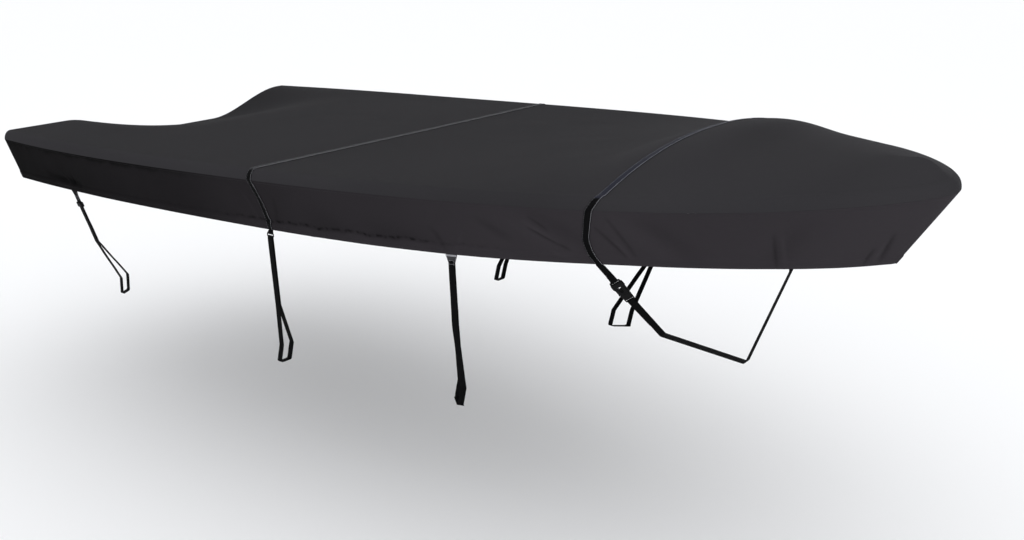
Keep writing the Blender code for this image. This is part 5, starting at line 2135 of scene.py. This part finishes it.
    def build_ring(self, upper_bar: Array, up: Array, outward: Array) -> None:
        """Builds the ring between the middle strap's loop and its tie-down, on both sides.

        Args:
            upper_bar: Centre of its upper bar, on port.
            up: The way up.
            outward: The way outward.
        """
        radius = self.straps.loop.bar
        across = unit(np.cross(outward, up))
        half_width = self.profile.width / 2 + self.ring_side_gap + radius
        half_height = self.ring_height / 2 - radius
        centre = upper_bar - up * half_height
        path = []
        for quarter in range(4):
            sx = 1 if quarter in (0, 3) else -1
            sy = 1 if quarter in (0, 1) else -1
            for step in range(self.corner_steps + 1):
                angle = math.pi / 2 * (quarter + step / self.corner_steps)
                a = sx * (half_width - self.ring_corner) + self.ring_corner * math.cos(angle)
                b = sy * (half_height - self.ring_corner) + self.ring_corner * math.sin(angle)
                path.append(centre + across * a + up * b)
        for side in Side:
            weaver = Weaver()
            self.round_bar(weaver, path, outward, radius, self.shape.placing(side))
            name, solid = f"mid_ring_moulded_{side.label}", f"mid_ring_{side.label}"
            weaver.piece(name, [self.wardrobe.plastic], Slot.PLASTIC, replaces=[solid])

    def build_mid(self, upper_bar: Array, outward: Array) -> None:
        """Builds the rings and the tie-downs looped through them.

        Args:
            upper_bar: Centre of the port ring's upper bar.
            outward: The way outward there.
        """
        up = -DOWN
        loop = self.straps.loop
        outward = unit(outward - up * float(outward @ up))
        across = unit(np.cross(outward, up))
        self.build_ring(upper_bar, up, outward)
        lower_bar = upper_bar + DOWN * (self.ring_height - 2 * loop.bar)
        reach = loop.bar + loop.clearance
        top_out = lower_bar + (outward + up) * reach
        top_in = lower_bar + (up - outward) * reach
        lead = DOWN * self.ring_lead
        route = self.routes[Station.MID].corners(top_out + lead, top_in + lead)
        route = [lower_bar + up * reach, top_out] + route + [top_in, lower_bar + up * reach]
        path = denser(rounded_path(route, self.rail_corner), self.tie_step)[:-1]
        tie = ribbon_rows(path, across, self.profile.width, closed=True)
        for side in Side:
            self.weave_side(
                ("mid_webbing", "mid_tie"), tie, self.wardrobe.webbing, Slot.WEBBING, side, closed=True
            )
        self.sew_loop(tie)

    def sew_loop(self, tie: List[Row]) -> None:
        """Sews the two layers together below the ring.

        Args:
            tie: The middle tie-down's rows.
        """
        top = max(row_centre(row)[2] for row in tie)
        outer = [row for row in tie if row[2][1] > self.outer_facing]
        weaver = Weaver()
        for side in Side:
            seams = WebbingSeams(self.shape.placing(side), self.profile.thickness, weaver)
            for drop in self.loop_drops:
                row = min(outer, key=lambda each: abs(row_centre(each)[2] - (top - drop)))
                seams.across(self.loop_stitch, row)
        weaver.piece("mid_tie_stitching", [self.wardrobe.grey], Slot.WEBBING)

    def build_slide(self, route: List[Array]) -> None:
        """Builds the slides of the aft tie-downs.

        Args:
            route: The corners of the port tie-down's route.
        """
        web = self.profile.thickness
        outer_run = unit(route[1] - route[0])
        middle = (route[0] + route[-1]) / 2 + outer_run * self.slide_drop
        layers = max(float(np.linalg.norm(route[0] - route[-1])), TieRoute.LAYER_SPREAD)
        along = self.hem_frame(self.routes[Station.AFT].hem_x)[2]
        outward = unit(np.cross(along, outer_run))
        across = unit(np.cross(outer_run, outward))
        hole = (self.profile.width / 2 + self.slide_gap, layers / 2 + web + self.slide_gap)
        outer_corner, hole_corner = self.slide_corners
        loops = [
            Loops.rounded_box(hole[0] + self.slide_wall, hole[1] + self.slide_wall, outer_corner),
            Loops.rounded_box(hole[0], hole[1], hole_corner),
        ]
        axes = (middle, across, outward, outer_run)
        for side in Side:
            moulding = Moulding(self.wardrobe.plastic, axes, self.shape.placing(side))
            name, solid = f"aft_slide_moulded_{side.label}", f"aft_slide_{side.label}"
            moulding.build(name, loops, self.slide_length / 2, self.slide_edge, [solid])

    def build(self) -> None:
        """Builds the rings, slides, tabs and tie-downs."""
        upper_bar, outward = self.straps.build_mid()
        self.build_mid(upper_bar, outward)
        self.build_slide(self.build_tabbed(Station.AFT))
        self.build_tabbed(Station.THIRD)


# ---------- moulded fittings
class Loops:
    """Outlines of moulded fittings, in their own plane."""

    @staticmethod
    def rounded(corners: Sequence[Tuple[float, float]], radius: float, steps: int = 6) -> Array:
        """A closed outline with each corner rounded.

        Args:
            corners: Its corners, in order.
            radius: Their radius.
            steps: Steps round each.

        Returns:
            The outline's points.
        """
        points = [np.array([a, b, 0.0]) for a, b in corners]
        ring: List[Array] = []
        for k, corner in enumerate(points):
            before, after = points[k - 1], points[(k + 1) % len(points)]
            arc = rounded_path([(before + corner) / 2, corner, (corner + after) / 2], radius, steps)
            ring += arc[1:-1]
        return np.array(ring)[:, :2]

    @staticmethod
    def even(half: Sequence[Tuple[float, float]], radius: float) -> Array:
        """A rounded outline that is even about its length, from the corners of its right half."""
        left = [(-a, b) for a, b in half]
        return Loops.rounded([left[0], *half, *reversed(left[1:])], radius)

    @staticmethod
    def rounded_box(
        half_a: float, half_b: float, radius: float, centre: Tuple[float, float] = (0.0, 0.0)
    ) -> Array:
        """A rounded rectangle.

        Args:
            half_a: Half its width.
            half_b: Half its length.
            radius: Radius of its corners.
            centre: Its middle.

        Returns:
            The outline's points.
        """
        turns = ((-1, -1), (1, -1), (1, 1), (-1, 1))
        return Loops.rounded([(centre[0] + half_a * a, centre[1] + half_b * b) for a, b in turns], radius)


@dataclass
class Moulding:
    """Flat plates with rounded edges, which make up a moulded fitting."""

    finish: Finish
    # its origin and its three directions
    axes: Tuple[Array, Array, Array, Array]
    place: Placing

    JOIN = Join(0.00001, 45.0)

    def build(
        self, name: str, loops: Sequence[Array], half_thick: float, edge: float, replaces: Sequence[str] = ()
    ) -> Piece:
        """Moulds a plate from its outline and holes.

        Args:
            name: Its name.
            loops: The outline, then each hole.
            half_thick: Half its thickness.
            edge: Radius of its rounded edges.
            replaces: The solids that it stands for.

        Returns:
            The piece.
        """
        curve = bpy.data.curves.new(name, "CURVE")
        curve.dimensions, curve.fill_mode = "2D", "BOTH"
        curve.extrude, curve.bevel_depth, curve.bevel_resolution = half_thick - edge, edge, 3
        curve.offset = -edge
        for loop in loops:
            spline = curve.splines.new("POLY")
            spline.points.add(len(loop) - 1)
            for point, (a, b) in zip(spline.points, loop):
                point.co = (a, b, 0.0, 1.0)
            spline.use_cyclic_u = True
        outline = bpy.data.objects.new(name + "_outline", curve)
        bpy.context.scene.collection.objects.link(outline)
        graph = bpy.context.evaluated_depsgraph_get()
        mesh = bpy.data.meshes.new_from_object(outline.evaluated_get(graph))
        bpy.data.objects.remove(outline)
        flat = np.empty(len(mesh.vertices) * 3)
        mesh.vertices.foreach_get("co", flat)
        flat = flat.reshape(-1, 3)
        origin, one, two, three = self.axes
        points = self.place(origin + flat[:, :1] * one + flat[:, 1:2] * two + flat[:, 2:] * three)
        mesh.vertices.foreach_set("co", points.ravel())
        mesh.materials.clear()
        return self.JOIN.piece(name, mesh, [self.finish], Slot.PLASTIC, replaces)


@dataclass
class Buckle:
    """Side-release buckle: a body of two shells on a bar frame, and a tongue with three prongs."""

    # between the bars that the webbing goes round
    span: float = 0.086
    width: float = 0.044
    tongue_width: float = 0.038
    thickness: float = 0.011
    bar: float = 0.0018
    slot: float = 0.0055
    slot_room: float = 0.0009
    slot_corner: float = 0.0012
    body_share: float = 0.62
    plate_edge: float = 0.0009

    def __post_init__(self) -> None:
        """Works out its length, and where its body ends."""
        self.length = self.span + 2 * self.bar
        self.split = self.length * self.body_share

    def slot_loop(self, half_width: float, middle: float) -> Array:
        """The outline of a slot for webbing."""
        return Loops.rounded_box(half_width + self.slot_room, self.slot / 2, self.slot_corner, (0.0, middle))

    def build_body(self, moulding: Moulding, slot_half: float) -> None:
        """Moulds the body.

        Args:
            moulding: What its plates are made with.
            slot_half: Half the width that the webbing needs.
        """
        half, thick, split = self.width / 2, self.thickness / 2, self.split
        head = 2 * self.bar + self.slot
        frame = Loops.even([(half * 0.86, 0.0), (half * 0.96, head + 0.003)], 0.0030)
        slot = self.slot_loop(slot_half, 2 * self.bar + self.slot / 2)
        sides = [
            (half * 0.96, head), (half, head + 0.008), (half, split * 0.50),
            (half * 0.80, split * 0.62), (half * 0.80, split * 0.80), (half * 0.94, split),
        ]
        window = Loops.even([(half * 0.30, split * 0.48), (half * 0.22, split * 0.86)], 0.0020)
        lip = Loops.rounded_box(half * 0.90, 0.0022, 0.0015, (0.0, split - 0.0024))
        moulding.build("buckle_frame", [frame, slot], self.bar, self.plate_edge)
        shell = [Loops.even(sides, 0.0035), window]
        moulding.build("buckle_shell", shell, thick, 0.0022, ["front_buckle_body"])
        moulding.build("buckle_lip", [lip], thick * 1.06, 0.0010)

    def build_tongue(self, moulding: Moulding, slot_half: float, gap: float) -> None:
        """Moulds the tongue: a broad base that narrows to its bar, a shoulder and the prongs.

        Args:
            moulding: What its plates are made with.
            slot_half: Half the width that the webbing needs.
            gap: Gap between it and the body.
        """
        half, thick, split = self.tongue_width / 2, self.thickness / 2, self.split
        start, foot = split + gap, self.length - 2 * self.bar - self.slot
        base = Loops.even([(half * 0.92, start), (half, start + 0.005), (half * 0.90, self.length)], 0.0030)
        slot = self.slot_loop(slot_half, self.length - 2 * self.bar - self.slot / 2)
        shoulder = Loops.even([(half * 0.92, start), (half * 0.78, foot)], 0.0022)
        prongs = [
            Loops.rounded_box(0.0026, split * 0.24, 0.0018, (side * self.width / 2 * 0.80, split * 0.74))
            for side in (-1, 1)
        ]
        prongs.append(Loops.rounded_box(0.0030, split * 0.22, 0.0018, (0.0, split * 0.80)))
        moulding.build("buckle_base", [base, slot], self.bar, self.plate_edge, ["front_buckle_tongue"])
        moulding.build("buckle_shoulder", [shoulder], thick * 0.86, 0.0016)
        for k, prong in enumerate(prongs):
            moulding.build(f"buckle_prong_{k}", [prong], thick * 0.50, 0.0010)


@dataclass(frozen=True)
class FrontWay:
    """The front strap's places and directions from the hem down, on the buckled side."""

    rows: List[Row]
    hem: Array
    along: Array
    outward: Array
    across: Array
    swing_end: Array
    leaving: List[Row]
    top: Array


@dataclass
class FrontStrap:
    """The strap over the bow, its buckle, and the strap under the hull."""

    shape: CoverShape
    straps: CoverStraps
    wardrobe: Wardrobe
    buckle: Buckle = field(default_factory=Buckle)
    forward: float = 3.22
    chine: Triple = (3.321, 0.450, -0.3995)
    keel: Triple = (3.395, 0.0, -0.618)
    swing: float = 0.050
    swing_steps: int = 16
    lead: float = 0.081
    bend: float = 0.020
    lap: float = 0.120
    lap_step: float = 0.01
    loop_step: float = 0.006
    under_step: float = 0.010
    tail_share: float = 0.84
    hull_closing: float = 0.5
    belly_rise: float = math.radians(45)
    fold_room: float = 0.040
    lap_rows: int = 11
    lap_inset: float = 0.003
    lap_stitch: Stitching = Stitching(length=0.0040, pitch=0.0056, width=0.0010, height=0.0005)

    def route(self) -> FrontWay:
        """Works out where the strap goes below the hem.

        Returns:
            Its places and directions.
        """
        rows = self.straps.on_cover(self.forward)
        hem = row_centre(rows[-1])
        along = unit(np.array(self.chine) - hem)
        outward = unit(np.cross((1.0, -self.hull_closing, 0.0), along))
        across = unit(np.cross(along, outward))
        hem_across = unit(rows[-1][1] - rows[-1][0])
        shares = [step / self.swing_steps for step in range(1, self.swing_steps + 1)]
        swing = [hem + along * self.swing * share for share in shares]
        turned = [unit(hem_across + (across - hem_across) * smoothstep(share)) for share in shares]
        width = self.straps.profile.width
        leaving = rows + ribbon_rows([hem] + swing, [hem_across] + turned, width)[1:]
        top = hem + along * self.lead
        return FrontWay(rows, hem, along, outward, across, swing[-1], leaving, top)

    def build_over(self, way: FrontWay) -> Tuple[Array, Array]:
        """Builds the strap over the bow.

        Args:
            way: Its places and directions.

        Returns:
            The centre of the buckle's upper bar, and the end of the lap on the other side.
        """
        profile = self.straps.profile
        over, upper_bar = self.straps.loop.turn(way.swing_end, way.top, way.outward, profile.thickness)
        buckled = way.leaving + ribbon_rows([way.swing_end] + over, way.across, profile.width)[1:]
        lap_end = way.hem + way.along * (self.lead + self.lap)
        straight = denser([way.swing_end, way.top, lap_end], self.lap_step)
        lapped = way.leaving + ribbon_rows(straight, way.across, profile.width)[1:]
        whole = mirrored(buckled) + lapped[1:]
        weaver = Weaver()
        profile.weave(weaver, whole, self.shape.placing(Side.PORT), finish=self.straps.finishes(whole))
        finishes = [self.wardrobe.dark, self.wardrobe.webbing]
        weaver.piece("front_strap", finishes, Slot.WEBBING, replaces=["front_over_strap"])
        self.straps.sew_cover_strap(way.rows, buckled, "front_strap_stitching", 0.9)
        return upper_bar, lap_end

    def build_under(self, way: FrontWay, lower_bar: Array, lap_end: Array) -> List[Row]:
        """Builds the strap under the hull.

        Args:
            way: The upper strap's places and directions.
            lower_bar: Centre of the buckle's lower bar.
            lap_end: End of the lap on the side without a buckle.

        Returns:
            Its rows.
        """
        profile, loop = self.straps.profile, self.straps.loop
        web, width = profile.thickness, profile.width
        along, outward, across = way.along, way.outward, way.across
        reach = web + loop.bar + loop.clearance
        turn_in = lower_bar - (along + outward) * reach
        turn_out = lower_bar + (outward - along) * reach
        chine, keel = np.array(self.chine), np.array(self.keel)
        off_strap = outward * (2 * web + self.shape.fit_gap)
        tail_end = way.hem + (chine - way.hem) * self.tail_share + off_strap
        below = turn_in + along * loop.tail
        flip = np.array([1.0, -1.0, 1.0])
        lift = outward * (web + self.shape.fit_gap)
        looped = denser(rounded_path([tail_end, turn_out, turn_in, below], reach, 10), self.loop_step)
        corners = [below, chine, keel, chine * flip, (lap_end + lift) * flip, (way.top + lift) * flip]
        under = denser(rounded_path(corners, self.bend, 8), self.under_step)
        belly = ribbon_rows(looped, across, width)[:-1]
        belly += ribbon_rows(under, self.belly_across(under, across, outward), width)
        weaver = Weaver()
        profile.weave(weaver, belly, self.shape.placing(Side.STARBOARD))
        finishes = [self.wardrobe.webbing]
        weaver.piece("front_belly_webbing", finishes, Slot.WEBBING, replaces=["front_belly_strap"])
        return belly

    def belly_across(self, path: Sequence[Array], across: Array, outward: Array) -> List[Array]:
        """Directions of the rows under the hull, where the strap folds over each chine at a slant.

        Args:
            path: The strap's path.
            across: Direction of its rows on the hull's side.
            outward: The way that it faces there.

        Returns:
            The direction at each point of the path.
        """
        chine, keel = np.array(self.chine), np.array(self.keel)
        below = np.array([math.cos(self.belly_rise), 0.0, math.sin(self.belly_rise)])
        fold = unit(np.cross(outward, np.cross(keel - chine, below)))
        each = []
        for point in path:
            flip = np.array([1.0, math.copysign(1.0, point[1]), 1.0])
            square = across if abs(point[1]) > chine[1] else below
            away = np.linalg.norm(point * flip - chine) - self.bend
            share = float(smoothstep(away / self.fold_room))
            each.append(unit(fold + (square - fold) * share) * flip)
        return each

    def build_buckle(self, way: FrontWay, upper_bar: Array) -> None:
        """Builds the buckle.

        Args:
            way: The strap's places and directions.
            upper_bar: Centre of the bar that the upper strap is looped on.
        """
        origin = upper_bar - way.along * self.buckle.bar
        axes = (origin, way.across, way.along, way.outward)
        moulding = Moulding(self.wardrobe.plastic, axes, self.shape.placing(Side.STARBOARD))
        slot_half = self.straps.profile.width / 2 + self.straps.loop.clearance
        self.buckle.build_body(moulding, slot_half)
        self.buckle.build_tongue(moulding, slot_half, self.shape.fit_gap)

    def sew_lap(self, belly: Sequence[Row]) -> None:
        """Sews a box where the strap under the hull laps the one over the bow.

        Args:
            belly: Rows of the strap under the hull.
        """
        seams = WebbingSeams(self.shape.placing(Side.STARBOARD), self.straps.profile.thickness)
        lap = [row for row in belly if row_centre(row)[1] < 0][-self.lap_rows:]
        for forward_edge in (False, True):
            seams.along(self.lap_stitch, lap, forward_edge, self.lap_inset)
        for row in (lap[0], lap[-1]):
            seams.across(self.lap_stitch, row)
        seams.piece("front_lap_stitching", self.wardrobe.grey, Slot.WEBBING)

    def build(self) -> None:
        """Builds both straps, the buckle and the stitching."""
        way = self.route()
        upper_bar, lap_end = self.build_over(way)
        belly = self.build_under(way, upper_bar + way.along * self.buckle.span, lap_end)
        self.build_buckle(way, upper_bar)
        self.sew_lap(belly)


# ---------- studio
@dataclass
class Studio:
    """Camera, floor and lights."""

    wardrobe: Wardrobe
    lens: float = 43.945
    eye: Triple = (3.2811, -3.7250, 1.0602)
    azimuth: float = 38.9241
    elevation: float = 18.0776
    roll: float = 0.6074
    floor_level: float = -1.257
    floor_reach: float = 40.0
    film: float = 36.0
    farthest: float = 200.0
    sky: Colour = (0.97, 0.98, 1.0)
    sky_strength: float = 1.12

    def build_camera(self) -> Piece:
        """Places the camera.

        Returns:
            The camera.
        """
        a, e, r = (math.radians(v) for v in (self.azimuth, self.elevation, self.roll))
        back = np.array([math.sin(a) * math.cos(e), -math.cos(a) * math.cos(e), math.sin(e)])
        right = np.array([math.cos(a), math.sin(a), 0.0])
        up = np.cross(back, right)
        rolled_right = math.cos(r) * right + math.sin(r) * up
        rolled_up = -math.sin(r) * right + math.cos(r) * up
        data = bpy.data.cameras.new("camera")
        data.lens, data.sensor_width, data.clip_end = self.lens, self.film, self.farthest
        camera = bpy.data.objects.new("camera", data)
        matrix = Matrix.Identity(4)
        for k, column in enumerate((rolled_right, rolled_up, back, np.array(self.eye))):
            for i in range(3):
                matrix[i][k] = column[i]
        camera.matrix_world = matrix
        bpy.context.scene.collection.objects.link(camera)
        bpy.context.scene.camera = camera
        return camera

    def build_floor(self) -> Piece:
        """Lays the floor.

        Returns:
            The floor.
        """
        mesh = bpy.data.meshes.new("floor")
        r = self.floor_reach
        corners = [(-r, -r), (r, -r), (r, r), (-r, r)]
        mesh.from_pydata([(x, y, self.floor_level) for x, y in corners], [], [(0, 1, 2, 3)])
        mesh.materials.append(material_of(self.wardrobe.floor))
        floor = bpy.data.objects.new("floor", mesh)
        bpy.context.scene.collection.objects.link(floor)
        floor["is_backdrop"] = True
        return floor

    def light(
        self, name: str, place: Triple, target: Triple, size: Tuple[float, float], power: float
    ) -> Piece:
        """Adds a soft rectangular light.

        Args:
            name: Its name.
            place: Where it is.
            target: What it points at.
            size: Its width and height.
            power: Its power in watts.

        Returns:
            The light.
        """
        data = bpy.data.lights.new(name, "AREA")
        data.shape, data.size, data.size_y = "RECTANGLE", *size
        data.energy = power
        made = bpy.data.objects.new(name, data)
        made.location = place
        made.rotation_euler = (Vector(target) - Vector(place)).to_track_quat("-Z", "Y").to_euler()
        bpy.context.scene.collection.objects.link(made)
        return made

    def build_lights(self) -> None:
        """Adds the lights and the pale surroundings."""
        self.light("overhead", (0.0, 0.5, 6.0), (0.0, 0.0, 0.0), (9.0, 7.0), 36.0)
        self.light("bow_side", (7.0, -2.5, 2.4), (1.6, -0.6, -0.1), (3.2, 2.2), 40.0)
        world = bpy.data.worlds.new("surroundings")
        world.use_nodes = True
        background = world.node_tree.nodes["Background"]
        background.inputs["Color"].default_value = (*self.sky, 1.0)
        background.inputs["Strength"].default_value = self.sky_strength
        bpy.context.scene.world = world
        bpy.context.scene.view_settings.view_transform = "Standard"

    def build(self) -> None:
        """Sets up everything but the camera."""
        self.build_floor()
        self.build_lights()


def main() -> None:
    """Builds the scene."""
    logging.basicConfig(level=logging.INFO, format="%(message)s")
    shape = CoverShape()
    wardrobe = Wardrobe()
    studio = Studio(wardrobe)
    studio.build_camera()
    panels = ClothPanels(shape, wardrobe)
    panels.build()
    straps = CoverStraps(shape, panels, wardrobe)
    TieDowns(shape, panels, straps, wardrobe).build()
    FrontStrap(shape, straps, wardrobe).build()
    studio.build()
    boxes = {
        name: [[round(float(v), 5) for v in corner] for corner in box]
        for name, box in (("cad", CAD_BOX), ("visual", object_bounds()))
    }


if __name__ == "__main__":
    main()
